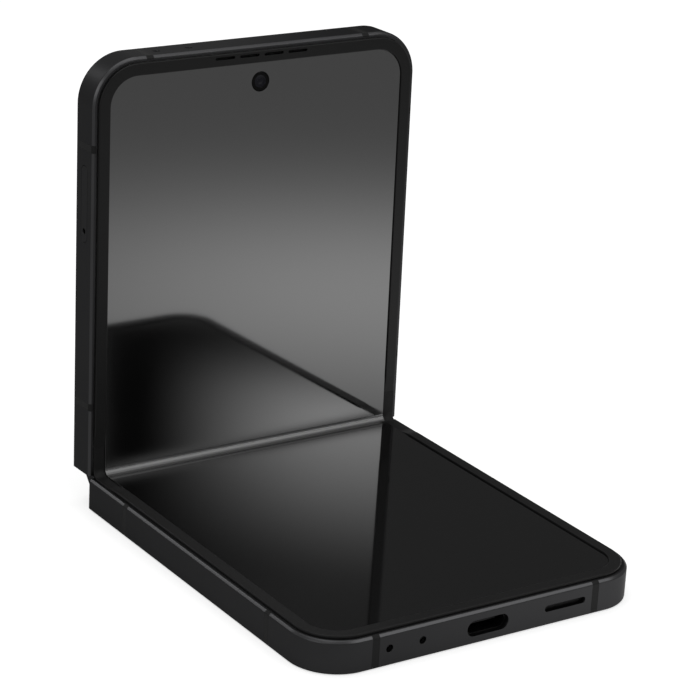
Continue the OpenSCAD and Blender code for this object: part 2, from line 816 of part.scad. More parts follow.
module outer_display() {
    color([0.05, 0.05, 0.06]) upper_half()
        rounded_block([-half_w + 7, 7, glass_in + seat], [half_w - 7, rear_y - ring_r - 6,
            glass_in + 0.6], 3);
}

module earpiece() {
    z1 = mid_bot - seat;
    reach = (ear_slot_pitch * (ear_slots - 1) + ear_slot_l) / 2 + 0.275;
    color([0.15, 0.15, 0.15]) upper_half()
        box([-reach, far - ear_slot_inset - 1, z1 - 2], [reach, far - wall_t - 0.2, z1]);
}

module upper_microphones() color([0.7, 0.65, 0.4]) upper_half() microphones();

module front_camera() {
    color([0.08, 0.08, 0.08]) upper_half() translate([0, camera_y, 0]) {
        box([-3, -3, mid_bot - 3.3], [3, 3, mid_bot - 0.1]);
        translate([0, 0, mid_bot - 0.2]) cylinder(d = camera_hole_d - 0.3, h = midplate_t + 0.2);
    }
}

module front_camera_lens() {
    color([0.1, 0.12, 0.16]) upper_half() translate([0, camera_y, mid_top + seat])
        cylinder(d = camera_hole_d - 0.2, h = 0.2);
}

module rear_cameras() {
    color([0.1, 0.1, 0.1]) upper_half() for (i = [0, 1])
        translate([rear_x - i * ring_pitch, rear_y, 0]) {
            box([-4.5, -4.5, glass_in + seat], [4.5, 4.5, mid_bot - 0.2]);
            translate([0, 0, -body_t]) cylinder(r = ring_r - 1.3, h = glass_t + 0.1);
        }
}

module rear_camera_rings() {
    color([0.3, 0.3, 0.32]) upper_half() for (i = [0, 1])
        translate([rear_x - i * ring_pitch, rear_y, -body_t - ring_out]) difference() {
            cylinder(r = ring_r, h = ring_out + glass_t);
            translate([0, 0, -1]) cylinder(r = ring_r - 1, h = ring_out + glass_t + 2);
        }
}

module rear_camera_lenses() {
    color([0.05, 0.06, 0.08]) upper_half() for (i = [0, 1])
        translate([rear_x - i * ring_pitch, rear_y, -body_t - ring_out + 0.15])
            cylinder(r = ring_r - 1.05, h = 0.6);
}

function flash_r() = 1.8;
function flash_x() = rear_x - ring_pitch - ring_r - 4;

module flash() {
    color([0.9, 0.88, 0.8]) upper_half() translate([flash_x(), rear_y, -body_t])
        cylinder(r = flash_r(), h = glass_t + 0.4);
}

// Keys, tray and what they work on

module key(y, l, gap) {
    side = half_w - wall_t;
    translate([side - gap - 0.1, y + end_gap, hole_depth]) rotate([90, 0, 90])
        linear_extrude(wall_t + gap + 0.1 + key_out) slot(l - 0.2, key_h - 0.16);
    box([side - gap - 0.4, y + end_gap - l / 2 - 0.5, hole_depth - key_h / 2 - 0.3],
        [side - gap, y + end_gap + l / 2 + 0.5, hole_depth + key_h / 2 + 0.3]);
}

power_gap = 0.06;
volume_gap = 0.3;
rib_r = 0.27;

module power_key() color([0.14, 0.14, 0.15]) upper_half() key(power_y, power_l, power_gap);

// The volume key rocks on a round rib in the middle of its back
module volume_key() {
    color([0.14, 0.14, 0.15]) upper_half() {
        key(volume_y, volume_l, volume_gap);
        translate([half_w - wall_t - volume_gap - 0.4, volume_y + end_gap, hole_depth - key_h / 2])
            cylinder(r = rib_r, h = key_h);
    }
}

module switch(y, gap) {
    x = half_w - wall_t - gap - 0.4 - key_travel - 0.05;
    box([x - 0.5, y + end_gap - 1.5, hole_depth - 1], [x, y + end_gap + 1.5, hole_depth + 1]);
}

module key_switches() {
    rail_x = half_w - wall_t - volume_gap - 0.4 - key_travel - 0.05;
    color([0.75, 0.6, 0.3]) upper_half() {
        switch(power_y, power_gap);
        switch(volume_y - volume_l / 2 + 2, volume_gap);
        switch(volume_y + volume_l / 2 - 2, volume_gap);
        box([rail_x - 0.8, power_y - 3, hole_depth - 1.2],
            [rail_x - 0.2, volume_y + volume_l / 2, hole_depth + 1.2]);
        for (y = [power_y, volume_y])
            box([rail_x - 0.8, y - 1.5, hole_depth + 1.1], [rail_x - 0.2, y + 1.5, mid_bot - seat]);
    }
}

module sim_tray() {
    face = -half_w;
    clear = 0.05;
    y = tray_y + end_gap;
    color([0.16, 0.16, 0.17]) upper_half() difference() {
        union() {
            translate([face, y, hole_depth]) rotate([90, 0, 90])
                linear_extrude(wall_t) slot(tray_l - 2 * clear, tray_h - 2 * clear);
            box([face + wall_t - 0.1, y - tray_l / 2 + 1.1, hole_depth - 0.45],
                [face + tray_in, y + tray_l / 2 - 1.1, hole_depth + 0.45]);
        }
        box([face + wall_t + 3, y - 4.4, hole_depth - 1], [face + wall_t + 11.5, y + 4.4, hole_depth + 1]);
        box([face + wall_t + 2, y - 6.2, hole_depth - 0.1], [face + wall_t + 12.5, y + 6.2,
            hole_depth + 1]);
        translate([face - 1, y - eject_y, hole_depth]) rotate([0, 90, 0])
            cylinder(d = eject_d, h = wall_t + 2);
    }
}

module sim_reader() {
    face = -half_w;
    y = tray_y + end_gap;
    half = tray_l / 2 - 1.1;
    color([0.7, 0.7, 0.7]) upper_half() difference() {
        box([face + wall_t + 0.6, y - half - 0.7, hole_depth - 0.85],
            [face + tray_in + 1, y + half + 0.7, hole_depth + 0.85]);
        box([face, y - half - 0.1, hole_depth - 0.55], [face + tray_in + 0.2, y + half + 0.1,
            hole_depth + 0.55]);
    }
}

lower_frame();
lower_antenna_bands();
lower_back_glass();
lower_bezel();
lower_display();
lower_midplate();
lower_hinge_plate();
lower_hinge_screws();
lower_fold_caps();
lower_battery();
charging_coil();
charging_board();
socket_shell();
socket_tongue();
loudspeaker();
lower_microphones();
vibration_motor();
lower_board_screws();
spine_cover();
hinge_blocks();
display_fold();
hinge_cable();
lower_sync_arms();
upper_sync_arms();
lower_idlers();
upper_idlers();
upper_frame();
upper_antenna_bands();
upper_back_glass();
upper_bezel();
upper_display();
upper_midplate();
upper_hinge_plate();
upper_hinge_screws();
upper_fold_caps();
upper_battery();
main_board();
board_shields();
upper_board_screws();
outer_display();
earpiece();
upper_microphones();
front_camera();
front_camera_lens();
rear_cameras();
rear_camera_rings();
rear_camera_lenses();
flash();
sim_reader();
key_switches();
sim_tray();
power_key();
volume_key();
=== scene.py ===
# %% [markdown]
# # A folding phone, half open
#
# This script dresses a phone whose inner display folds across the middle. The packed model gives
# the joints and the inner solids, and the sizes written here are its own. Blender adds what the
# eye looks for: softened edges, rims round the openings, a display that bends, and fine grain.
#
# Everything is in metres and in the model's own frame: +Z up, +Y towards the hinge. The lower
# half lies on the table and the upper half stands up behind it.

import math

import bmesh
import bpy
import numpy as np
from mathutils import Matrix, Vector


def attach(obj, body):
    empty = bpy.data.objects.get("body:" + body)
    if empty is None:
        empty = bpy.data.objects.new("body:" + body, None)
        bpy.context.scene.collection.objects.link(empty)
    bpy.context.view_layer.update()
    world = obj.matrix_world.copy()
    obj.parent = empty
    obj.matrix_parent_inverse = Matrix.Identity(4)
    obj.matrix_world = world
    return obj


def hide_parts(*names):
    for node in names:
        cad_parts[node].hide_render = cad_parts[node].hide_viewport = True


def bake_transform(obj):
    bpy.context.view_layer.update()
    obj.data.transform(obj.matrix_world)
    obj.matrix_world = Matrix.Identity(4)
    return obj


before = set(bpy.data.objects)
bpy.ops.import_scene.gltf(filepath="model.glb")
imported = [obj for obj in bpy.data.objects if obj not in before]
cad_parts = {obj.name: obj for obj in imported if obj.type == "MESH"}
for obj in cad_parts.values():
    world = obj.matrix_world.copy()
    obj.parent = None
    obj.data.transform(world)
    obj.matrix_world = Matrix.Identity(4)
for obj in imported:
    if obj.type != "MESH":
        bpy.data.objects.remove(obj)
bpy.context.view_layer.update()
print(len(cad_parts), "solids")

# %% [markdown]
# ## One drawing frame for both halves
#
# Both halves are the same tray of metal, so each piece is drawn once, in millimetres, in a half
# that lies flat: x across, y away from the fold, z up from the metal rim. A transform could sit
# on the object, but a finished piece here keeps its object at the origin, so the transform is
# worked into the points. The lower half is mirrored in y. The spine is turned about the lower
# pivot line, and the upper half is turned about the upper pivot line first.

# %% Sizes and places, in millimetres
BODY_W, BODY_T, FAR, CORNER_R = 71.9, 6.35, 82.05, 9.2
HALF_W = BODY_W / 2
END_GAP, PIVOT = 0.05, 0.7
WALL, RIM_CHAMFER, BACK_ROUND, BACK_LIP = 1.0, 0.5, 0.4, 0.75
TURN = math.radians(44.5)
TO_ROW = np.array([0, 41.05, BODY_T])


def turn_yz(points, y, z, angle):
    """Points turned about a line along x through y and z, by one angle or one for each point."""
    c, s = np.cos(angle), np.sin(angle)
    dy, dz = points[:, 1] - y, points[:, 2] - z
    return np.column_stack([points[:, 0], y + dy * c - dz * s, z + dy * s + dz * c])


def to_row(points, half):
    """Points of a half or of the spine, in millimetres, placed in the model's frame in metres."""
    points = np.array(points, float).reshape(-1, 3)
    if half == "lower":
        points = points * [1, -1, 1]
    if half == "upper":
        points = turn_yz(points, PIVOT, 0, TURN)
    if half in ("upper", "spine"):
        points = turn_yz(points, -PIVOT, 0, TURN)
    return (points + TO_ROW) / 1000


for half in ("lower", "upper"):
    print(half, "far edge at", to_row([[0, FAR, 0]], half).round(4)[0])

# %% [markdown]
# ## Writing shaders as sums
#
# A node tree for a finish is easier to read as arithmetic. The class `Number` wraps a socket, so
# that `1 - mask` or `0.4 + 0.1 * grain` adds the Math nodes by itself. Every other node comes
# from one method of `Tree`, which takes the node's type, its settings and its sockets.

# %% A socket that can be used like a number
class Number:
    def __init__(self, tree, socket):
        self.tree, self.socket = tree, socket

    def calc(self, operation, *values):
        return self.tree.node("ShaderNodeMath", {"operation": operation}, dict(enumerate(values)))

    def __add__(self, other): return self.calc("ADD", self, other)
    def __radd__(self, other): return self.calc("ADD", other, self)
    def __sub__(self, other): return self.calc("SUBTRACT", self, other)
    def __rsub__(self, other): return self.calc("SUBTRACT", other, self)
    def __mul__(self, other): return self.calc("MULTIPLY", self, other)
    def __rmul__(self, other): return self.calc("MULTIPLY", other, self)
    def __truediv__(self, other): return self.calc("DIVIDE", self, other)
    def __rtruediv__(self, other): return self.calc("DIVIDE", other, self)
    def __pow__(self, other): return self.calc("POWER", self, other)
    def __abs__(self): return self.calc("ABSOLUTE", self)
    def exp(self): return self.calc("EXPONENT", self)
    def root(self): return self.calc("SQRT", self)
    def sine(self): return self.calc("SINE", self)
    def at_least(self, other): return self.calc("MAXIMUM", self, other)

    def step(self, low, high):
        """A soft step from 0 at low to 1 at high."""
        return self.tree.node("ShaderNodeMapRange", {"interpolation_type": "SMOOTHSTEP"},
                              {"Value": self, "From Min": low, "From Max": high})


# %% A tree of nodes, written node by node
MAP_W, MAP_H = 100, 200  # the millimetres that a UV map spans


class Tree:
    def __init__(self, tree):
        self.tree = tree

    def node(self, kind, settings, inputs, output=0):
        made = self.tree.nodes.new(kind)
        for key, value in settings.items():
            setattr(made, key, value)
        for key, value in inputs.items():
            self.connect(made.inputs[key], value)
        return Number(self, made.outputs[output])

    def connect(self, socket, value):
        if isinstance(value, Number):
            self.tree.links.new(value.socket, socket)
        elif value is not None:
            socket.default_value = value

    def place(self, scale=(1, 1, 1)):
        """Object coordinates, stretched."""
        where = self.node("ShaderNodeTexCoord", {}, {}, "Object")
        return self.node("ShaderNodeMapping", {}, {"Vector": where, "Scale": scale})

    def part(self, vector, axis):
        """One coordinate of a vector."""
        return self.node("ShaderNodeSeparateXYZ", {}, {"Vector": vector}, axis)

    def across(self):
        """Millimetres from the middle line, from the UV map."""
        return self.part(self.node("ShaderNodeTexCoord", {}, {}, "UV"), "X") * MAP_W - MAP_W / 2

    def along(self):
        """Millimetres above or below the crease, from the UV map."""
        return self.part(self.node("ShaderNodeTexCoord", {}, {}, "UV"), "Y") * MAP_H - MAP_H / 2

    def ray(self, kind):
        """1 for one kind of ray, such as Camera or Glossy, and 0 for the others."""
        return self.node("ShaderNodeLightPath", {}, {}, f"Is {kind} Ray")

    def noise(self, scale, detail, roughness=0.5, vector=None):
        return self.node("ShaderNodeTexNoise", {}, {
            "Vector": vector or self.place(), "Scale": scale, "Detail": detail, "Roughness": roughness})

    def mix(self, factor, first, second):
        """A colour between two colours."""
        return self.node("ShaderNodeMix", {"data_type": "RGBA"}, {0: factor, 6: first, 7: second}, 2)

    def bump(self, height, depth, strength):
        """Normals bent by a height from 0 to 1 that stands for depth in metres."""
        return self.node("ShaderNodeBump", {}, {
            "Height": height, "Distance": depth, "Strength": strength})


# %% A finish: one material, with a tree that feeds its shader
class Finish(Tree):
    def __init__(self, name, **sockets):
        self.material = bpy.data.materials.new(name)
        self.material.use_nodes = True
        super().__init__(self.material.node_tree)
        self.shader = self.tree.nodes["Principled BSDF"]
        self.give(**sockets)

    def give(self, **sockets):
        """Values or links for the shader's own sockets, base_color for Base Color and so on."""
        for key, value in sockets.items():
            name = key.replace("_", " ").title().replace("Ior", "IOR")
            self.connect(self.shader.inputs[name], value)


def grey(value, blue=1.0):
    return (value, value, value * blue, 1)


print("the shader class knows", sum(n.startswith("__r") for n in vars(Number)), "reflected operators")

# %% [markdown]
# ## Anodised metal
#
# The frames, keys and tray are aluminium that was blasted with fine beads and dyed almost black.
# Light on it is soft and broad, with a grain finer than a hair. A picture of metal could be
# wrapped round the piece; noise in three dimensions has no seam and follows every corner. One
# noise shifts roughness and colour a little, a much finer one makes the grain.

# %% Anodised metal for frames, keys and spine
def anodised(name, tone, rough):
    f = Finish(name, metallic=1.0, specular_tint=grey(0.6))
    cloud, grain = f.noise(90, 3), f.noise(5200, 1.5)
    f.give(base_color=f.mix(cloud, grey(tone * 0.92, 1.03), grey(tone * 1.08, 1.03)),
           roughness=rough - 0.03 + 0.05 * cloud + 0.06 * grain,
           normal=f.bump(grain, 6e-6, 0.35))
    return f.material


FRAME_METAL = anodised("anodised_frame", 0.055, 0.38)
CUT_METAL = anodised("anodised_chamfer", 0.095, 0.28)
SPINE_METAL = anodised("anodised_spine", 0.052, 0.33)
KEY_METAL = anodised("anodised_keys", 0.058, 0.34)
RING_METAL = anodised("anodised_rings", 0.08, 0.28)
print("finishes, with the anodised metals:", len(bpy.data.materials))

# %% [markdown]
# ## Plastics and rubber
#
# The bezel is moulded in a matt black plastic with a fine texture, the antenna bands in a harder
# one that is polished with the metal, and the trim beside the fold is soft. They differ in
# sheen, not in colour, so each gets its own roughness and its own grain.

# %% Moulded plastics
def moulded(name, tone, rough, grain_scale, depth, specular=0.4):
    f = Finish(name, specular_ior_level=specular)
    cloud, grain = f.noise(140, 2), f.noise(grain_scale, 2)
    f.give(base_color=f.mix(cloud, grey(tone * 0.9), grey(tone * 1.1)),
           roughness=rough - 0.04 + 0.08 * grain,
           normal=f.bump(grain, depth, 0.4))
    return f.material


BEZEL_PLASTIC = moulded("bezel_plastic", 0.009, 0.40, 4200, 6e-6, 0.24)
BAND_PLASTIC = moulded("band_plastic", 0.013, 0.5, 3600, 4e-6, 0.18)
TRIM_RUBBER = moulded("trim_rubber", 0.008, 0.6, 2600, 8e-6, 0.3)
BLACK_PLASTIC = moulded("black_plastic", 0.012, 0.45, 3000, 8e-6)
print("with the plastics:", len(bpy.data.materials))

# %% [markdown]
# ## The display
#
# The screen is off, so all that it shows is what it mirrors: the floor, the lamps and its own other
# half. The film is nearly black with a clear gloss, and the light in it is left to the lamps. A
# faint smear makes the gloss a little softer in places, as fingers do, and the stretch that
# bends is softer still.

# %% Display film over a dark panel
f = Finish("display_film", base_color=grey(0.003), ior=1.8, specular_ior_level=1.0)
CREASE_REACH = 2.2
crease = (0 - (f.along() / CREASE_REACH) ** 2).exp()
f.give(roughness=0.03 + 0.04 * f.noise(35, 3) + 0.24 * crease)
DISPLAY_FILM = f.material
print("display film:", len(f.tree.nodes), "nodes")

# %% [markdown]
# ## Glass on the back and in the cameras
#
# The back is dark glass, etched so that it feels like satin. The camera windows and the cover
# display are polished and dark, with a painted sheen: Layer Weight makes their colour lighter and
# a little blue where the surface is seen at a flat angle.

# %% Etched and polished glass
FRONT_CAMERA_Y = 74.85


def window(x, y, half_x, half_y, radius):
    """1 inside a rectangle with round corners about x = y = 0, and 0 outside."""
    over_x = (abs(x) - half_x + radius).at_least(0)
    over_y = (abs(y) - half_y + radius).at_least(0)
    return 1 - ((over_x ** 2 + over_y ** 2).root() - radius).step(-0.05, 0.05)


def back_glass(name, shine=0):
    """Etched glass. Shine is 1 for a plate with a polished window over the cover display."""
    f = Finish(name, specular_ior_level=0.4, coat_roughness=0.04)
    polish = shine * window(f.across(), f.along() - 41.5, half_x=32.6, half_y=37.0, radius=7.2)
    cloud, grain = f.noise(60, 2), f.noise(6000, 1.5) * (1 - polish)
    etched = f.mix(cloud, grey(0.018, 1.06), grey(0.024, 1.06))
    f.give(base_color=f.mix(polish, etched, grey(0.004, 1.1)),
           roughness=0.32 - 0.2 * polish + 0.06 * grain,
           coat_weight=0.05 + 0.2 * polish,
           normal=f.bump(grain, 3e-6, 0.25))
    return f.material


LOWER_GLASS, UPPER_GLASS = back_glass("back_glass_etched"), back_glass("back_glass_window", 1)


def polished(name, tone, tint):
    f = Finish(name, specular_ior_level=0.12)
    # Painted sheen: the colour turns from the dark tone towards the lighter, bluer tint where the surface
    # is seen at a flat angle.
    rim = f.node("ShaderNodeLayerWeight", {}, {"Blend": 0.35}, "Facing")
    f.give(base_color=f.mix(rim, grey(tone), tint), roughness=0.05 + 0.03 * f.noise(50, 2))
    return f.material


COVER_GLASS = polished("cover_display_glass", 0.006, (0.010, 0.012, 0.020, 1))
LENS_GLASS = polished("lens_glass", 0.0015, (0.008, 0.007, 0.018, 1))

f = Finish("front_lens_glass", specular_ior_level=0.15)
away = (f.across() ** 2 + (f.along() - FRONT_CAMERA_Y) ** 2).root()
pupil = 1 - away.step(1.1, 1.3)
f.give(base_color=f.mix(pupil, grey(0.001), (0.011, 0.011, 0.015, 1)),
       roughness=0.05 + 0.03 * f.noise(50, 2))
FRONT_LENS = f.material

f = Finish("flash_lens", specular_ior_level=0.5)
cells = f.node("ShaderNodeTexVoronoi", {"feature": "F1"}, {"Vector": f.place(), "Scale": 3000})
f.give(base_color=f.mix(cells, (0.78, 0.74, 0.55, 1), (0.86, 0.85, 0.80, 1)), roughness=0.25,
       normal=f.bump(cells, 3e-5, 0.6))
FLASH_LENS = f.material
print("with the display and the glass:", len(bpy.data.materials))

# %% [markdown]
# ## What is inside
#
# A repairer who opens the phone finds brushed plates, machined steel, a pouch cell, a copper
# winding and printed boards. Each is seen only in a gap or when the part is taken apart, and
# each still gets the mark of how it was made: streaks from brushing, wrinkles in the foil,
# tracks on the board.

# %% Metals, foil, boards and cable inside
def brushed(name, tone, rough, stretch=(60, 3000, 3000), tint=(1, 1, 1)):
    f = Finish(name, metallic=1.0)
    streak = f.noise(1, 3, vector=f.place(scale=stretch))
    dark = tuple(tone * 0.8 * c for c in tint) + (1,)
    pale = tuple(tone * 1.15 * c for c in tint) + (1,)
    f.give(base_color=f.mix(streak, dark, pale), roughness=rough - 0.05 + 0.14 * streak,
           normal=f.bump(streak, 4e-6, 0.4))
    return f.material


PLATE_METAL = brushed("brushed_plate", 0.32, 0.38)
HINGE_STEEL = brushed("machined_steel", 0.5, 0.28, (2500, 500, 500))
SHIELD_STEEL = brushed("stamped_steel", 0.55, 0.32, (300, 300, 300))
DARK_STEEL = brushed("blackened_steel", 0.06, 0.4, (300, 300, 300))
CONTACT_GOLD = brushed("gilded_contacts", 0.75, 0.25, (900, 900, 900), tint=(1, 0.78, 0.42))
COIL_COPPER = brushed("copper_wire", 0.6, 0.3, (1500, 1500, 1500), tint=(1, 0.55, 0.34))

f = Finish("pouch_foil", metallic=0.4)
wrinkle, fine = f.noise(160, 5, 0.6), f.noise(2500, 2)
f.give(base_color=f.mix(fine, grey(0.035, 1.1), grey(0.055, 1.1)),
       roughness=0.34 + 0.12 * wrinkle,
       normal=f.bump(wrinkle, 6e-5, 0.5))
POUCH_FOIL = f.material

f = Finish("solder_mask", specular_ior_level=0.5)
tracks = f.node("ShaderNodeTexBrick", {"offset": 0.5}, {
    "Vector": f.place(), "Scale": 420, "Mortar Size": 0.012, "Brick Width": 1.3,
    "Row Height": 0.3}, "Fac")
f.give(base_color=f.mix(tracks, (0.012, 0.05, 0.028, 1), (0.05, 0.12, 0.06, 1)),
       roughness=0.35 + 0.1 * f.noise(400, 2), normal=f.bump(tracks, 2e-5, 0.5))
SOLDER_MASK = f.material

f = Finish("polyimide_cable", specular_ior_level=0.5)
lines = (f.part(f.place(), "X") * 9000).sine().step(-0.2, 0.2)
f.give(base_color=f.mix(lines, (0.30, 0.13, 0.03, 1), (0.42, 0.22, 0.06, 1)),
       roughness=0.3 + 0.05 * lines)
POLYIMIDE = f.material
print("with what is inside:", len(bpy.data.materials))

# %% [markdown]
# ## Meshes from rings
#
# Most small pieces are a closed outline carried from one place to the next: a key, the inside of
# a slot, a lens. `skin` joins such rings with faces and closes both ends. The outline may grow
# or shrink from ring to ring, which gives a rounded edge with no modifier.

# %% Helpers for closed shapes
def outward(ob):
    """Merge doubled points and make every face look outwards."""
    bm = bmesh.new()
    bm.from_mesh(ob.data)
    bmesh.ops.remove_doubles(bm, verts=bm.verts, dist=1e-5)
    bmesh.ops.dissolve_degenerate(bm, edges=bm.edges, dist=1e-6)
    bmesh.ops.recalc_face_normals(bm, faces=bm.faces)
    bm.to_mesh(ob.data)
    bm.free()
    return ob


def add_mesh(name, points, faces=(), edges=()):
    mesh = bpy.data.meshes.new(name)
    mesh.from_pydata([tuple(map(float, p)) for p in points], list(edges), list(faces))
    ob = bpy.data.objects.new(name, mesh)
    bpy.context.scene.collection.objects.link(ob)
    return ob


def keep_result(ob):
    """What an object's modifiers make of its mesh becomes its mesh."""
    graph = bpy.context.evaluated_depsgraph_get()
    made = bpy.data.meshes.new_from_object(ob.evaluated_get(graph))
    ob.modifiers.clear()
    ob.data = made
    return ob


def between_rings(rings, joins, sides):
    """Faces between one ring and the next, a number of sides for each of the joins."""
    n, count = len(rings[0]), len(rings)
    faces = []
    for k in range(joins):
        a, b = k * n, (k + 1) % count * n
        faces += [(a + i, a + (i + 1) % n, b + (i + 1) % n, b + i) for i in range(sides)]
    return faces


def skin(name, rings):
    """A closed mesh from rings of equally many points."""
    n, count = len(rings[0]), len(rings)
    ends = [tuple(range(n)), tuple(range((count - 1) * n, count * n))]
    faces = between_rings(rings, count - 1, n) + ends
    return outward(add_mesh(name, [p for ring in rings for p in ring], faces))


def pill(length, height, steps=12):
    """Outline of a slot with round ends, as pairs."""
    r = height / 2
    arc = [math.radians(a) for a in np.linspace(-90, 90, steps + 1)]
    right = [(length / 2 - r + r * math.cos(a), r * math.sin(a)) for a in arc]
    return right + [(-u, -v) for u, v in right]


def on_wall(u, v, out, wall, along, depth):
    """A point of a piece that sits in a wall: u along the wall, v across it, out of it."""
    if wall == "far":
        return (along + u, FAR + out, depth + v)
    if wall == "top":
        return (along + u, depth + v, out)
    side = 1 if wall == "right" else -1
    return (side * (HALF_W + out), along + u, depth + v)


def plug(name, length, height, steps, wall, along, depth):
    """A slot-shaped solid through a wall. Each step is how far out, and how much wider."""
    return skin(name, [[on_wall(u, v, out, wall, along, depth)
                        for u, v in pill(length + 2 * grow, height + 2 * grow)] for out, grow in steps])


def turned(name, profile, x, y, closed=False, steps=64):
    """A solid of revolution about a line along z; the profile is pairs of radius and height."""
    rings = [[(x + r * math.cos(a), y + r * math.sin(a), z) for r, z in profile]
             for a in np.linspace(0, 2 * math.pi, steps, endpoint=False)]
    faces = between_rings(rings, steps, len(profile) if closed else len(profile) - 1)
    return outward(add_mesh(name, [p for ring in rings for p in ring], faces))


def block(name, low, high, edge=0.08):
    """A box with rounded edges."""
    low, high = np.array(low, float), np.array(high, float)
    bm = bmesh.new()
    bmesh.ops.create_cube(bm, size=1)
    for v in bm.verts:
        v.co = Vector((low + high) / 2 + (high - low) * np.array(v.co))
    bmesh.ops.bevel(bm, geom=bm.edges, offset=edge, segments=2, profile=0.5, affect="EDGES")
    ob = add_mesh(name, [])
    bm.to_mesh(ob.data)
    bm.free()
    return ob


def carve(ob, tools, operation="DIFFERENCE"):
    """Cut tools out of a mesh, or join them to it, and remove the tools."""
    for tool in tools:
        m = ob.modifiers.new("carve", "BOOLEAN")
        m.operation, m.solver, m.object = operation, "EXACT", tool
    keep_result(ob)
    for tool in tools:
        bpy.data.objects.remove(tool)
    return outward(ob)


def join(name, ob, *others):
    """Several loose solids as one piece."""
    bm = bmesh.new()
    for o in (ob, *others):
        bm.from_mesh(o.data)
    bm.to_mesh(ob.data)
    bm.free()
    for o in others:
        bpy.data.objects.remove(o)
    ob.name = name
    return ob


print("a slot's outline has", len(pill(9, 3)), "points")

# %% [markdown]
# ## Setting a piece in place
#
# `settle` is the last step of each piece: it moves the points to the model's frame, smooths the
# shading but keeps real edges crisp, hangs the piece on an empty for the body it rides on, hides
# the solids it stands for, and gives it its finish. Weighted normals let flat faces stay flat up to
# their rounded edges.

# %% Shade, place and attach a piece
def shade(ob, sharp):
    ob.data.polygons.foreach_set("use_smooth", [True] * len(ob.data.polygons))
    ob.data.set_sharp_from_angle(angle=math.radians(sharp))
    m = ob.modifiers.new("even", "WEIGHTED_NORMAL")
    m.keep_sharp = True
    keep_result(ob)


def flat_map(ob, half):
    """Map a flat piece by its distances from the middle line and above the crease."""
    points = np.array([v.co for v in ob.data.vertices])
    sign = -1 if half == "lower" else 1
    uv = ob.data.uv_layers.get("UVMap") or ob.data.uv_layers.new(name="UVMap")
    for loop in ob.data.loops:
        x, y, _ = points[loop.vertex_index]
        uv.data[loop.index].uv = (x / MAP_W + 0.5, sign * y / MAP_H + 0.5)
    return points


def put(ob, half, place, finishes, sharp):
    """Map a flat piece, move its points to where place takes them, and give it its finishes."""
    ob.data.vertices.foreach_set("co", place(flat_map(ob, half), half).ravel())
    if half == "lower":
        ob.data.flip_normals()
    ob.data.update()
    ob.data.materials.clear()
    for finish in finishes:
        ob.data.materials.append(finish)
    shade(ob, sharp)


def settle(ob, half, finish, stands_for=(), sharp=40, cut=None, body=None):
    """Place a piece. With cut, the chamfer along the metal rim gets that second finish."""
    body = body or half + "_half"
    chamfer = [bool(cut) and 0.5 < p.normal.z < 0.85 and p.center.z > -RIM_CHAMFER - 0.2
               for p in ob.data.polygons]
    put(ob, half, to_row, [finish, cut] if cut else [finish], sharp)
    ob.data.polygons.foreach_set("material_index", [int(c) for c in chamfer])
    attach(ob, body)
    if stands_for:
        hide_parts(*stands_for)
    print(f"{ob.name}: {len(ob.data.polygons)} faces on {body}")


def dress(finish, *names):
    """A finish on solids that keep their own mesh."""
    for name in names:
        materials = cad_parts[name].data.materials
        materials.clear()
        materials.append(finish)


# %% [markdown]
# ## Rails that follow the outline
#
# The frame wall, the bezel and the bands are all one section carried along the outline of a half:
# up one side, round two corners, down the other side. That is a job for Geometry Nodes: the tree
# turns a line of points into a curve and carries a section along it. Its inputs are the section
# and the finish, so one tree makes every rail.

# %% A node tree that carries a section along a path
class Growth(Tree):
    """A Geometry Nodes tree with named inputs, written with the same method as a finish."""

    def __init__(self, name, **inputs):
        super().__init__(bpy.data.node_groups.new(name, "GeometryNodeTree"))
        face = self.tree.interface
        face.new_socket("Geometry", in_out="INPUT", socket_type="NodeSocketGeometry")
        for key, kind in inputs.items():
            face.new_socket(key, in_out="INPUT", socket_type="NodeSocket" + kind)
        face.new_socket("Geometry", in_out="OUTPUT", socket_type="NodeSocketGeometry")
        self.start = self.tree.nodes.new("NodeGroupInput")

    def take(self, name):
        return Number(self, self.start.outputs[name])

    def end(self, geometry):
        out = self.tree.nodes.new("NodeGroupOutput")
        made = self.node("GeometryNodeSetMaterial", {}, {
            "Geometry": geometry, "Material": self.take("Material")})
        self.tree.links.new(made.socket, out.inputs[0])


def grown(name, growth, ob=None, **values):
    """Run a tree on an object and keep the result as a plain mesh."""
    ob = ob or add_mesh(name, [])
    m = ob.modifiers.new("grow", "NODES")
    m.node_group = growth.tree
    for item in growth.tree.interface.items_tree:
        if item.in_out == "INPUT" and item.name in values:
            m[item.identifier] = values[item.name]
    return keep_result(ob)


RAIL = Growth("section_along_path", Section="Object", Material="Material")
path = RAIL.node("GeometryNodeMeshToCurve", {}, {"Mesh": RAIL.take("Geometry")})
path = RAIL.node("GeometryNodeSetCurveNormal", {"mode": "Z_UP"}, {"Curve": path})
shape = RAIL.node("GeometryNodeObjectInfo", {}, {"Object": RAIL.take("Section")}, "Geometry")
shape = RAIL.node("GeometryNodeMeshToCurve", {}, {"Mesh": shape})
carried = RAIL.node("GeometryNodeCurveToMesh", {}, {
    "Curve": path, "Profile Curve": shape, "Fill Caps": True})
RAIL.end(RAIL.node("GeometryNodeRealizeInstances", {}, {"Geometry": carried}))
print("rail tree:", [i.name for i in RAIL.tree.interface.items_tree])

# %% Sections with softened corners, and the path round a half
def soften(corners, steps=4):
    """Corners as (in from the wall, height, rounding) made into a smooth closed section."""
    out = []
    for i, (d, z, r) in enumerate(corners):
        here = np.array([d, z], float)
        before, after = (np.array(corners[(i + k) % len(corners)][:2], float) for k in (-1, 1))
        if r == 0:
            out.append(here)
            continue
        a = here + r * (before - here) / np.linalg.norm(before - here)
        b = here + r * (after - here) / np.linalg.norm(after - here)
        out += [(1 - t) ** 2 * a + 2 * t * (1 - t) * here + t * t * b
                for t in np.linspace(0, 1, steps + 1)]
    return out


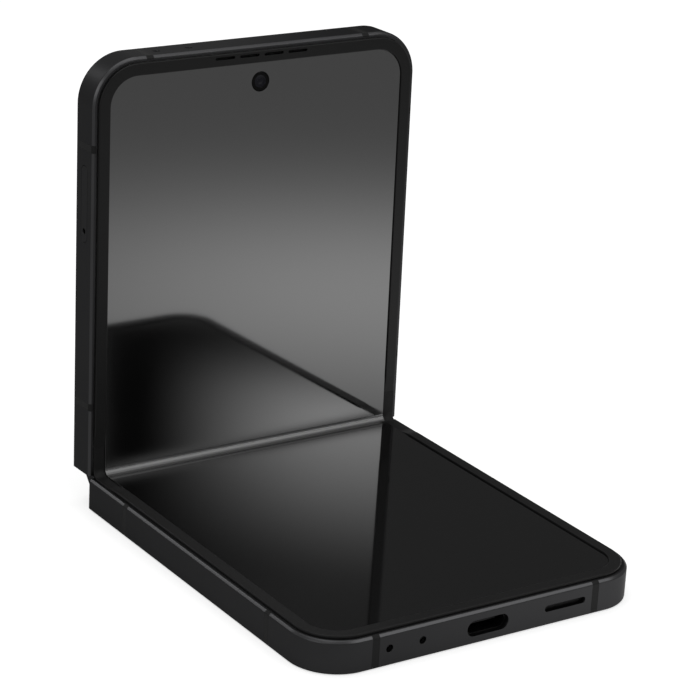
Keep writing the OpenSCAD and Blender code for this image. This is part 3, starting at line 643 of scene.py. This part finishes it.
def outline_path(first, steps=28):
    """Points of the outer wall from the right hinge end, round the far end, to the left one."""
    cx, cy = HALF_W - CORNER_R, FAR - CORNER_R
    right = [(HALF_W, y, 0) for y in first]
    arc = [(cx + CORNER_R * math.cos(a), cy + CORNER_R * math.sin(a), 0)
           for a in np.linspace(0, math.pi / 2, steps + 1)]
    run = right + arc
    return run + [(-x, y, z) for x, y, z in reversed(run)]


def line(name, points, closed=False):
    n = len(points)
    edges = [(i, i + 1) for i in range(n - 1)] + ([(n - 1, 0)] if closed else [])
    return add_mesh(name, points, edges=edges)


def rail(name, section, path, finish):
    shape = line("section", [(-d, -z, 0) for d, z in section], closed=True)
    ob = grown(name, RAIL, line(name, path), Section=shape, Material=finish)
    bpy.data.objects.remove(shape)
    return outward(ob)


# %% [markdown]
# ## The two frames
#
# Each half's frame starts as one bar of aluminium that is milled hollow: an outer wall with a
# chamfer along the rim and a rounding at the back, a ledge inside for the back glass, and a
# narrow strip across the hinge end. Here the wall is a rail, the strip is joined to it, and the
# hollow for the spine is cut with a drum, as a mill would. The openings flare a little at the
# surface, so their edges catch light.

# %% Frame wall and strip
LEDGE_IN, LEDGE_Z = 2.2, -BODY_T + 0.6
LEDGE_TOP = LEDGE_Z + 0.6
WALL_SECTION = soften([
    (BACK_LIP, -BODY_T, 0.06), (0, -BODY_T, BACK_ROUND), (0, -RIM_CHAMFER, 0.16),
    (RIM_CHAMFER, 0, 0.14), (WALL, 0, 0.05), (WALL, LEDGE_TOP, 0),
    (LEDGE_IN, LEDGE_TOP, 0), (LEDGE_IN, LEDGE_Z, 0), (BACK_LIP, LEDGE_Z, 0)])
STRIP_END, STRIP_Z, DRUM_R, SOFT = 1.65, -5.45, 5.35, 0.09
BAND_YS, BAND_XS = (14.1 + END_GAP, 65.2 + END_GAP), (24, -24)
GROOVE_HALF, BAND_HALF = 0.75, 0.73


def frame_wall(name):
    """The wall of a half, softened at its hinge ends, with the strip between them."""
    ob = rail(name, WALL_SECTION, outline_path([END_GAP, END_GAP + 0.1, 20]), FRAME_METAL)
    for v in ob.data.vertices:
        if v.co.y < END_GAP + 0.02:
            v.co.x = math.copysign(min(abs(v.co.x), HALF_W - SOFT), v.co.x)
            v.co.z = min(max(v.co.z, -BODY_T + SOFT), -SOFT)
    side = HALF_W - WALL
    strip = soften([(END_GAP, -BODY_T, SOFT), (STRIP_END, -BODY_T, 0.06),
                    (STRIP_END, STRIP_Z, 0), (END_GAP, STRIP_Z, SOFT)])
    strip = skin("strip", [[(x, y, z) for y, z in strip] for x in (-side - 0.2, side + 0.2)])
    drum = skin("drum", [[(x, PIVOT + DRUM_R * math.cos(a), DRUM_R * math.sin(a))
                          for a in np.linspace(0, 2 * math.pi, 96, endpoint=False)]
                         for x in (-side, side)])
    return carve(carve(ob, [strip], "UNION"), [drum])


def band_cutters():
    """Blocks with their middles 0.1 mm outside the wall, so they cut 0.75 mm deep."""
    w, half_depth, out = GROOVE_HALF, 0.85, []
    for side in (-1, 1):
        x = side * (HALF_W + 0.1)
        for y in BAND_YS:
            low, high = (x - half_depth, y - w, -7), (x + half_depth, y + w, 1)
            out.append(block("band", low, high, 0.001))
        x = side * BAND_XS[0]
        low, high = (x - w, FAR + 0.1 - half_depth, -7), (x + w, FAR + 1, 1)
        out.append(block("band", low, high, 0.001))
    return out


HOLE_Z, SOCKET_Z = 3.3 - BODY_T, 3.0 - BODY_T
SPEAKER_X, MICROPHONE_XS = 17.2, (-21.1, -14.1)
TRAY_Y, POWER_Y, VOLUME_Y = 54.05, 33.05, 52.05
POWER_LENGTH, VOLUME_LENGTH = 11, 20
FLARE = [(-2.4, 0), (-0.09, 0), (-0.03, 0.03), (0.03, 0.09), (0.3, 0.35)]


def round_holes():
    return [plug("hole", 1.4, 1.4, FLARE, "far", x, HOLE_Z) for x in MICROPHONE_XS]


lower_frame = frame_wall("lower_frame_shell")
carve(lower_frame, band_cutters() + round_holes() + [
    plug("socket", 8.95, 3.0, FLARE, "far", 0, SOCKET_Z),
    plug("speaker", 9.1, 1.2, FLARE, "far", SPEAKER_X, HOLE_Z)])
settle(lower_frame, "lower", FRAME_METAL, ["lower_frame"], cut=CUT_METAL)

SMALL_FLARE = [(-2.4, 0), (-0.06, 0), (0.02, 0.05), (0.3, 0.2)]
upper_frame = frame_wall("upper_frame_shell")
carve(upper_frame, band_cutters() + round_holes() + [
    plug("tray_slot", 15, 2.4, SMALL_FLARE, "left", TRAY_Y, HOLE_Z),
    plug("power_slot", POWER_LENGTH, 2.2, SMALL_FLARE, "right", POWER_Y, HOLE_Z),
    plug("volume_slot", VOLUME_LENGTH, 2.2, SMALL_FLARE, "right", VOLUME_Y, HOLE_Z)])
settle(upper_frame, "upper", FRAME_METAL, ["upper_frame"], cut=CUT_METAL)

# %% [markdown]
# ## Antenna bands
#
# Metal blocks radio, so the frame is parted by thin bands of plastic that are milled flush with
# it. Each band is a short piece of the same rail with only its outer skin, a hair narrower than
# its groove, so that the joint reads as a fine line.

# %% Bands in the side and far walls
BAND_SECTION = soften([(0.74, -BODY_T, 0.02), (0, -BODY_T, BACK_ROUND), (0, -RIM_CHAMFER, 0.16),
                       (RIM_CHAMFER, 0, 0.14), (0.74, 0, 0.02)])
BAND_PATHS, w = [], BAND_HALF
for y in BAND_YS:
    BAND_PATHS.append([(HALF_W, y - w, 0), (HALF_W, y + w, 0)])
    BAND_PATHS.append([(-HALF_W, y + w, 0), (-HALF_W, y - w, 0)])
for x in BAND_XS:
    BAND_PATHS.append([(x + w, FAR, 0), (x - w, FAR, 0)])

for half in ("lower", "upper"):
    ob = join(f"{half}_bands", *[rail("band", BAND_SECTION, path, BAND_PLASTIC) for path in BAND_PATHS])
    settle(ob, half, BAND_PLASTIC, [half + "_antenna_bands"])

# %% [markdown]
# ## The bezel
#
# A raised plastic rim frames the display, so that the film never touches the other half when the
# phone is closed. It is the same kind of rail, lower in section. Towards the fold it falls away
# in a ramp, which is worked into the points after the rail is made. The earpiece speaks through
# four slots in the upper one.

# %% Bezel rails with ramped ends
BEZEL_SECTION = soften([(1.08, -0.10, 0.04), (1.08, 0.55, 0.26), (3.43, 0.55, 0.16), (3.43, -0.10, 0)])
BEZEL_END, RAMP_END = 5.95, 9.8
RAMP_ROWS = [BEZEL_END, 6.3, 6.8, 7.3, 7.8, 8.3, 8.8, 9.3, RAMP_END, 10.4]


def bezel(name):
    """A bezel that starts at a quarter of its height and rises along a soft ramp."""
    ob = rail(name, BEZEL_SECTION, outline_path(RAMP_ROWS), BEZEL_PLASTIC)
    for v in ob.data.vertices:
        if v.co.y < RAMP_END and v.co.z > 0:
            t = (v.co.y - BEZEL_END) / (RAMP_END - BEZEL_END)
            v.co.z *= 0.25 + 0.75 * t * t * (3 - 2 * t)
    return ob


settle(bezel("lower_rim"), "lower", BEZEL_PLASTIC, ["lower_bezel"])
upper_rim = bezel("upper_rim")
EAR_Y, EAR_XS = FAR - 1.9, [(i - 1.5) * 5.4 for i in range(4)]
EAR_FLARE = [(-1, 0), (0.46, 0), (0.53, 0.04), (0.6, 0.12)]
carve(upper_rim, [plug("ear", 4.25, 0.5, EAR_FLARE, "top", x, EAR_Y) for x in EAR_XS])
settle(upper_rim, "upper", BEZEL_PLASTIC, ["upper_bezel"])

# %% [markdown] ## A display that folds The film, thin glass and panel bend over the hinge in
# a soft curve. One mesh can't follow two joints here, so the display is two sheets that meet
# at the crease, each drawn bent round the fold as the hinge stands now. Close to the fold their
# rows of points are dense and lie on an arc that touches both halves. Its radius follows from
# where the two faces would meet, so that the crease keeps the height of the display above the spine.

# %% Thin layers over the fold
FACE, PANEL_BOTTOM = 0.25, -0.10
VALLEY_Y = PIVOT + (FACE * math.sin(TURN) - PIVOT) / math.cos(TURN)
VALLEY_Z = (VALLEY_Y - PIVOT) * math.sin(TURN) + FACE * math.cos(TURN)
FOLD_R = (FACE - VALLEY_Z) / (1 / math.cos(TURN) - 1)
FOLD_Z = VALLEY_Z + FOLD_R / math.cos(TURN)
FOLD_END = VALLEY_Y + FOLD_R * math.tan(TURN)
print("the display bends over", round(2 * FOLD_R * TURN, 2), "mm with a radius of", round(FOLD_R, 2))


def from_spine(points):
    return turn_yz(points, -PIVOT, 0, TURN)


def bent(points, half):
    """Points of a thin layer of a half: flat up to the fold, then laid round an arc."""
    points = np.array(points, float).reshape(-1, 3)
    x, y, z = points.T
    angle, radius = TURN * y / FOLD_END, FOLD_R + FACE - z
    arc = np.column_stack([x, radius * np.sin(angle), FOLD_Z - radius * np.cos(angle)])
    if half == "lower":
        arc, points = arc * [1, -1, 1], points * [1, -1, 1]
    else:
        points = turn_yz(points, PIVOT, 0, TURN)
        points = from_spine(points)
    points = np.where(y[:, None] < FOLD_END, from_spine(arc), points)
    return (points + TO_ROW) / 1000


def layer(name, rows, low, high, edge=0.05):
    """A sheet from rows of (y, x from, x to), drawn flat between two heights."""
    rings = [[(x0, y, low), (x0, y, high - edge), (x0 + edge, y, high), (x1 - edge, y, high),
              (x1, y, high - edge), (x1, y, low)] for y, x0, x1 in rows]
    return skin(name, rings)


def settle_bent(ob, half, finish, stands_for, height=FACE):
    """Place a layer, laid round the fold as the hinge stands now; height only sets the point that is
    printed.
    """
    put(ob, half, bent, [finish], 50)
    away, crease = (Vector(bent([[0, y, height]], half)[0]) for y in (FOLD_END, 0))
    if half == "lower":
        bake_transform(ob)
    else:
        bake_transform(ob)
    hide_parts(*stands_for)
    print(f"{ob.name}: {len(ob.data.polygons)} faces, bends from {tuple(round(c, 4) for c in away)}")


SHEET_W, SHEET_END, SHEET_R = 32.47, 78.57, 5.72
FOLD_ROWS = tuple(np.linspace(0, FOLD_END, 17))
rows = [(y, -SHEET_W, SHEET_W) for y in (*FOLD_ROWS, 2, 4, 6, 15, 30, 45, 60)]
for a in np.linspace(0, math.pi / 2, 20):
    x = SHEET_W - SHEET_R * (1 - math.cos(a))
    rows.append((SHEET_END - SHEET_R + SHEET_R * math.sin(a), -x, x))
settle_bent(layer("display_lower", rows, PANEL_BOTTOM, FACE), "lower", DISPLAY_FILM,
            ["lower_display", "display_fold"])
display_upper = layer("display_upper", rows, PANEL_BOTTOM, FACE)
hole = [(0, -1), (1.95, -1), (1.95, 0.20), (2.0, 0.3), (0, 0.3)]
carve(display_upper, [turned("window", hole, 0, FRONT_CAMERA_Y)])
settle_bent(display_upper, "upper", DISPLAY_FILM, ["upper_display"])

# %% Trim beside the display and the flat cable under it
TRIM_IN, TRIM_OUT, CABLE_W = 32.53, 34.87, 8
for half in ("lower", "upper"):
    strips = []
    for x0, x1 in ((-TRIM_OUT, -TRIM_IN), (TRIM_IN, TRIM_OUT)):
        rows = [(y, x0, x1) for y in (*FOLD_ROWS, 2, 4, 5.9)]
        strips.append(layer("strip", rows, -0.16, 0.12, 0.08))
    trim = join(f"{half}_fold_trim", *strips)
    settle_bent(trim, half, TRIM_RUBBER, [half + "_fold_caps"], 0.1)
    rows = [(y, -CABLE_W, CABLE_W) for y in (*FOLD_ROWS, 3, 6, 9, 11.8)]
    cable = layer(f"{half}_hinge_cable", rows, -0.45, -0.30, 0.02)
    settle_bent(cable, half, POLYIMIDE, ["hinge_cable"], -0.4)

# %% [markdown]
# ## The spine
#
# A curved metal cover closes the back of the hinge. Its section is a shallow arc between two
# shoulders, one round each pivot line, so the halves can swing past it with a hair of clearance.
# The section is worked out from the same circles as in the solid model and cut hollow.

# %% Spine cover
REACH, SPINE_R, SPINE_DEPTH, SPINE_TOP, SPINE_WALL = 5.23, 18, 3.4, 0.65, 0.45
SPINE_END = (BODY_W - 2 * WALL - 2 * 0.12) / 2


def spine_arc(inset, top, steps=40):
    """Points from one long edge of the spine to the other, below top."""
    reach = REACH - inset
    edge = PIVOT + math.sqrt(reach ** 2 - top ** 2)
    out = []
    for y in edge * np.sin(np.linspace(-math.pi / 2, math.pi / 2, steps)):
        arc = SPINE_R - SPINE_DEPTH - math.sqrt((SPINE_R - inset) ** 2 - y * y)
        shoulder = -reach
        if abs(y) > PIVOT:
            shoulder = -math.sqrt(max(reach ** 2 - (abs(y) - PIVOT) ** 2, top ** 2))
        out.append((y, max(arc, shoulder)))
    return out


def spine_ring(x, inset):
    return [(x, y, z) for y, z in spine_arc(inset, SPINE_TOP + inset)]


END_STEPS = [(0, 0.10), (0.03, 0.04), (0.10, 0)]
left_end = [spine_ring(-SPINE_END + x, inset) for x, inset in END_STEPS]
right_end = [spine_ring(SPINE_END - x, inset) for x, inset in reversed(END_STEPS)]
cover = skin("spine_shell", left_end + right_end)
arc = spine_arc(SPINE_WALL, SPINE_TOP)
arc = [(arc[0][0], 0.5)] + arc + [(arc[-1][0], 0.5)]
inner_end = SPINE_END - 0.6
carve(cover, [skin("hollow", [[(x, y, z) for y, z in arc] for x in (-inner_end, inner_end)])])
settle(cover, "spine", SPINE_METAL, ["spine_cover"], body="spine")

# %% [markdown]
# ## Bars in a row
#
# Grilles and contacts repeat one small bar at an even pitch. A second tree does that: it lays a
# row of points, puts a bar on each and makes them real. The charging socket's contacts, the
# cloth behind the loudspeaker slot and the mesh under the earpiece all come from it.

# %% A node tree for rows of bars
BARS = Growth("bars_in_a_row", Count="Int", Start="Vector", Step="Vector", Size="Vector",
              Material="Material")
spots = BARS.node("GeometryNodeMeshLine", {"mode": "OFFSET", "count_mode": "TOTAL"}, {
    "Count": BARS.take("Count"), "Start Location": BARS.take("Start"), "Offset": BARS.take("Step")})
bar = BARS.node("GeometryNodeMeshCube", {}, {"Size": BARS.take("Size")})
row = BARS.node("GeometryNodeInstanceOnPoints", {}, {"Points": spots, "Instance": bar})
BARS.end(BARS.node("GeometryNodeRealizeInstances", {}, {"Geometry": row}))


def bars(count, start, step, size, finish):
    return grown("bars", BARS, Count=count, Start=start, Step=step, Size=size, Material=finish)


contacts = join("socket_contacts", *[
    bars(12, (-2.75, 77.6, SOCKET_Z + side * 0.36), (0.5, 0, 0), (0.22, 3.2, 0.05), CONTACT_GOLD)
    for side in (1, -1)])
settle(contacts, "lower", CONTACT_GOLD)

STEP, BAR = 0.28, 0.12
cloth = join(
    "loudspeaker_mesh",
    bars(36, (SPEAKER_X - 4.9, FAR - 1.02, HOLE_Z), (STEP, 0, 0), (BAR, 0.05, 1.5), BLACK_PLASTIC),
    bars(6, (SPEAKER_X, FAR - 1.05, HOLE_Z - 0.7), (0, 0, STEP), (10.0, 0.05, BAR), BLACK_PLASTIC))
settle(cloth, "lower", BLACK_PLASTIC)

ear_mesh = join("earpiece_mesh", *[
    bars(14, (x - 1.82, EAR_Y, -0.3), (STEP, 0, 0), (BAR, 0.44, 0.05), BLACK_PLASTIC)
    for x in EAR_XS])
settle(ear_mesh, "upper", BLACK_PLASTIC)

# %% [markdown]
# ## Keys and tray
#
# The power key and the longer volume key stand out of the right wall with rounded edges. Behind
# the wall each has a flange that keeps it in, and the volume key a rib on which it rocks. The
# tray is flush with the left wall and has a small hole for an ejector pin.

# %% Keys
KEY_EDGE = [(0.13, 0), (0.22, -0.03), (0.30, -0.09), (0.345, -0.18), (0.35, -0.3)]
FLANGE_T = 0.4


def key(name, y, length, gap, replaced):
    """A key in the right wall; its flange stands off the wall's inner face by the gap."""
    cap = plug(name, length - 0.2, 2.04, [(-WALL - gap, 0)] + KEY_EDGE, "right", y, HOLE_Z)
    side, reach = HALF_W - WALL - gap, length / 2 + 0.5
    parts = [block("flange", (side - FLANGE_T, y - reach, HOLE_Z - 1.4), (side, y + reach, HOLE_Z + 1.4))]
    if replaced == "volume_key":
        bottom, top = HOLE_Z - 1.1, HOLE_Z + 1.1
        rib = [(0, bottom), (0.27, bottom), (0.27, top), (0, top)]
        parts.append(turned("rib", rib, side - FLANGE_T, y, steps=24))
    carve(cap, parts, "UNION")
    settle(cap, "upper", KEY_METAL, [replaced], body=replaced + "_body")


key("power_button", POWER_Y, POWER_LENGTH, 0.06, "power_key")
key("volume_button", VOLUME_Y, VOLUME_LENGTH, 0.3, "volume_key")

# %% Tray with its ejector hole
TRAY_EDGE = [(-1, 0), (-0.05, 0), (-0.01, -0.02), (0, -0.06)]
PIN_FLARE = [(-2, 0), (-0.08, 0), (-0.02, 0.03), (0.1, 0.12)]
tray = plug("card_tray", 14.9, 2.3, TRAY_EDGE, "left", TRAY_Y, HOLE_Z)
face = -HALF_W
sled = block("sled", (face + 0.9, 47.65, HOLE_Z - 0.45), (face + 15, 60.45, HOLE_Z + 0.45), 0.06)
carve(tray, [sled], "UNION")
carve(tray, [block("well", (face + 4, 49.65, HOLE_Z - 1), (face + 12.5, 58.45, HOLE_Z + 1), 0.3),
             block("step", (face + 3, 47.85, HOLE_Z - 0.1), (face + 13.5, 60.25, HOLE_Z + 1), 0.05),
             plug("pin", 1.1, 1.1, PIN_FLARE, "left", 48.75, HOLE_Z)])
settle(tray, "upper", KEY_METAL, ["sim_tray"], body="sim_tray_body")

# %% [markdown]
# ## Back glass and cameras
#
# Both backs are closed with flat glass. The upper one has round windows for two cameras and a
# flash, and a cover display behind it. The rings and lenses are turned parts, so they are drawn
# as a profile spun about an axis, with the small steps that a lathe leaves.

# %% Back glass
GLASS_INSET, GLASS_START = 0.80, 1.70
REAR_Y, REAR_XS, FLASH_X = FAR - 16, (22, 6), -3.6


def glass_plate(name):
    """A plate inside the frame, with its outer edge rounded off in two steps."""
    r, w, y1 = CORNER_R - GLASS_INSET, HALF_W - GLASS_INSET, FAR - GLASS_INSET
    rings = []
    for height, less in ((0, 0.10), (0.03, 0.03), (0.1, 0), (0.55, 0)):
        right = [(w - less, GLASS_START + less), (w - less, y1 - r)]
        right += [(w - r + (r - less) * math.cos(a), y1 - r + (r - less) * math.sin(a))
                  for a in np.linspace(0, math.pi / 2, 24)[1:]]
        left = [(-x, y) for x, y in reversed(right)]
        rings.append([(x, y, -BODY_T + height) for x, y in right + left])
    return skin(name, rings)


settle(glass_plate("lower_back"), "lower", LOWER_GLASS, ["lower_back_glass"])
upper_back = glass_plate("upper_back")
carve(upper_back, [turned("hole", [(0, -9), (r, -9), (r, -3), (0, -3)], x, REAR_Y)
                   for x, r in [(x, 5.65) for x in REAR_XS] + [(FLASH_X, 1.85)]])
settle(upper_back, "upper", UPPER_GLASS, ["upper_back_glass"])

# %% Camera rings, lenses and flash
def from_back(*profile):
    """A profile of radii and heights, with each height measured from the back face."""
    return [(r, z - BODY_T) for r, z in profile]


RING = from_back((4.6, 0.55), (5.6, 0.55), (5.6, -0.70), (5.56, -0.80), (5.48, -0.87), (5.36, -0.90),
                 (4.95, -0.90), (4.85, -0.88), (4.62, -0.66), (4.6, -0.6))
rings = [turned("ring", RING, x, REAR_Y, closed=True, steps=96) for x in REAR_XS]
settle(join("camera_rings", *rings), "upper", RING_METAL, ["rear_camera_rings"], 30)

LENS = from_back((0, -0.15), (4.55, -0.15), (4.55, -0.70), (4.50, -0.75), (3.5, -0.75), (3.45, -0.72),
                 (3.30, -0.72), (3.25, -0.75), (2.2, -0.75), (2.15, -0.66), (1.7, -0.62), (1.65, -0.52),
                 (1.2, -0.60), (0.6, -0.66), (0, -0.68))
lenses = [turned("lens", LENS, x, REAR_Y) for x in REAR_XS]
settle(join("camera_lenses", *lenses), "upper", LENS_GLASS, ["rear_camera_lenses"], 30)

FLASH = from_back((0, 0.95), (1.8, 0.95), (1.8, 0.05), (1.75, 0), (1.3, 0), (1.25, 0.04), (0, 0))
flash = turned("flash_window", FLASH, FLASH_X, REAR_Y, steps=48)
settle(flash, "upper", FLASH_LENS, ["flash"], 30)

FRONT = [(0, -0.07), (1.85, -0.07), (1.85, 0.16), (1.80, 0.19), (1.30, 0.19), (1.26, 0.15),
         (0.95, 0.12), (0.92, 0.04), (0.62, 0.02), (0.58, 0.06), (0.3, 0.10), (0, 0.115)]
front = turned("front_lens", FRONT, 0, FRONT_CAMERA_Y)
settle(front, "upper", FRONT_LENS, ["front_camera_lens"], 30)

# %% [markdown]
# ## The charging coil
#
# The coil is one copper wire wound in a flat spiral. Geometry Nodes has a spiral curve, so a
# third tree carries a round section along it. Its inputs are the two radii, the turns and the
# wire's thickness.

# %% A wound coil
COIL = Growth("flat_winding", Inner="Float", Outer="Float", Turns="Float", Wire="Float",
              Material="Material")
spiral = COIL.node("GeometryNodeCurveSpiral", {}, {
    "Resolution": 56, "Rotations": COIL.take("Turns"), "Start Radius": COIL.take("Inner"),
    "End Radius": COIL.take("Outer"), "Height": 0.0})
wire = COIL.node("GeometryNodeCurvePrimitiveCircle", {}, {"Resolution": 8, "Radius": COIL.take("Wire")})
wound = COIL.node("GeometryNodeCurveToMesh", {}, {
    "Curve": spiral, "Profile Curve": wire, "Fill Caps": True})
COIL.end(COIL.node("GeometryNodeRealizeInstances", {}, {"Geometry": wound}))
coil = grown("coil_winding", COIL, Inner=9.2, Outer=18.8, Turns=26.0, Wire=0.17, Material=COIL_COPPER)
BATTERY_NEAR, BATTERY_FAR, BATTERY_TOP, BATTERY_T = 12.3, 56, -0.82 - 0.28, 3.5
COIL_GAP, COIL_T = 0.05, 0.35
coil_z = BATTERY_TOP - BATTERY_T - COIL_GAP - COIL_T / 2
coil.data.transform(Matrix.Translation((0, (BATTERY_NEAR + BATTERY_FAR) / 2, coil_z)))
settle(outward(coil), "lower", COIL_COPPER, ["charging_coil"])

# %% Finishes for the solids that keep their shape
dress(PLATE_METAL, "lower_midplate", "upper_midplate")
dress(HINGE_STEEL, "hinge_blocks", *[half + part for half in ("lower", "upper") for part in (
    "_hinge_plate", "_sync_arms", "_idlers", "_hinge_screws", "_board_screws")])
dress(POUCH_FOIL, "lower_battery", "upper_battery")
dress(SOLDER_MASK, "charging_board", "main_board")
dress(DARK_STEEL, "socket_shell")
dress(SHIELD_STEEL, "vibration_motor", "sim_reader", "lower_microphones", "upper_microphones",
      "key_switches", "board_shields")
dress(BLACK_PLASTIC, "socket_tongue", "loudspeaker", "earpiece", "front_camera", "rear_cameras")
dress(COVER_GLASS, "outer_display")
print("solids that keep their mesh:", sum(not o.hide_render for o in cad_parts.values()))

# %% [markdown]
# ## Camera, floor and light
#
# The camera stands where the photographer's stood, which was worked out from the phone's own
# edges. The floor is pale and plain. Soft lamps above, at the left, in front and behind keep
# dark metal readable, and the world is white for the eye alone, so that reflections stay as dim
# as those of a studio with dark walls.
#
# A black mirror shows only its surroundings, so the surroundings are part of the work. From here
# the upper half of the display mirrors the floor at the right and the lower half, and the lower
# half mirrors the upper one. A pool of light is painted on that floor as a glow that only glossy
# faces see, and to them the floor is a darker grey, which is painted shade. A small softbox that
# fades at its edges stands at the front right, and a dark card behind. Only glossy faces see
# these three.

# %% Camera at the photograph's place
right = Vector((0.834366, -0.548612, 0.053464))
down = Vector((-0.149074, -0.317969, -0.936308))
ahead = Vector((0.530670, 0.773253, -0.347087))
camera = bpy.data.objects.new("camera", bpy.data.cameras.new("camera"))
camera.data.lens, camera.data.sensor_width = 139.06, 36
camera.data.clip_start, camera.data.clip_end = 0.01, 50
axes = Matrix((right, -down, -ahead)).transposed().to_4x4()
camera.matrix_world = Matrix.Translation((-0.2672038, -0.3822483, 0.2134856)) @ axes
bpy.context.scene.collection.objects.link(camera)
bpy.context.scene.camera = camera
print("camera", round(camera.location.length, 3), "m from the origin")

# %% Pale floor, with a painted pool of light beside the phone
# Painted light: where the painted pool of light lies on the floor, how wide it is and how bright it is.
POOL_X, POOL_Y, POOL_RADIUS, PAINTED_POOL_LIGHT = 0.09, -0.05, 0.09, 0.88
FLOOR_HALF, FLOOR_Z = 3, -0.0001
corners = [(x * FLOOR_HALF, y * FLOOR_HALF, FLOOR_Z) for x, y in ((-1, -1), (1, -1), (1, 1), (-1, 1))]
floor = add_mesh("floor", corners, [(0, 1, 2, 3)])
f = Finish("floor", roughness=0.8, specular_ior_level=0.1, emission_strength=1.0)
mirrored = f.ray("Glossy")
x, y = f.part(f.place(), "X") - POOL_X, f.part(f.place(), "Y") - POOL_Y
# Painted light: a round pool of glow in the floor's emission, which only glossy rays see.
painted_pool = (0 - (x ** 2 + y ** 2) / POOL_RADIUS ** 2).exp()
# Painted shade: glossy rays see the floor a darker grey than the eye does. The eye alone sees an even
# white glow.
f.give(base_color=f.mix(mirrored, grey(0.85), grey(0.5)),
       emission_color=0.62 * f.ray("Camera") + PAINTED_POOL_LIGHT * painted_pool * mirrored)
floor.data.materials.append(f.material)

# %% World and lamps
world = bpy.data.worlds.new("studio")
world.use_nodes = True
bpy.context.scene.world = world
sky = Tree(world.node_tree)
background = sky.tree.nodes["Background"]
sky.connect(background.inputs["Strength"], 0.3 + 0.7 * sky.ray("Camera"))
sky.connect(background.inputs["Color"], grey(1.0))


def lamp(name, place, target, size, power):
    light = bpy.data.lights.new(name, "AREA")
    light.shape, light.size, light.size_y, light.energy = "RECTANGLE", size[0], size[1], power
    ob = bpy.data.objects.new(name, light)
    ob.location = place
    ob.rotation_euler = (Vector(target) - Vector(place)).to_track_quat("-Z", "Y").to_euler()
    bpy.context.scene.collection.objects.link(ob)


lamp("overhead", (0.0, 0.1, 0.9), (0, 0, 0), (0.9, 0.9), 2.2)
lamp("left", (-0.9, -0.3, 0.5), (0, 0, 0.04), (0.6, 0.6), 1.2)
lamp("front", (0.5, -0.6, 0.8), (0, 0, 0.04), (0.7, 0.5), 1.2)
lamp("behind", (-0.42, 0.95, 0.62), (0, 0, 0.08), (0.28, 0.28), 0.5)
bpy.context.scene.view_settings.view_transform = "Standard"

# %% Two cards that only a glossy face sees
def card(name, left, right, low, high, light):
    """An upright card that shines by its own light, and the finish that it shines with."""
    f = Finish(name + "_cloth", base_color=grey(0.0), specular_ior_level=0.0,
               emission_color=grey(1.0), emission_strength=light)
    ob = add_mesh(name, [(*left, low), (*right, low), (*right, high), (*left, high)], [(0, 1, 2, 3)])
    ob.data.materials.append(f.material)
    ob.visible_camera = ob.visible_diffuse = ob.visible_shadow = False
    return f


f = card("softbox", (0.417, -0.785), (0.587, -0.615), 0.28, 0.5, 4.8)
along = (f.part(f.place(), "X") + f.part(f.place(), "Y")) * math.sqrt(0.5)
height = f.part(f.place(), "Z")
sideways = along.step(-0.24, -0.11) * (1 - along.step(-0.09, -0.03))
upwards = height.step(0.28, 0.33) * (1 - 0.93 * height.step(0.35, 0.49))
f.give(emission_color=sideways * upwards)

card("dark_card", (0.16, 0.29), (0.42, 0.29), 0.06, 0.3, 0.06)
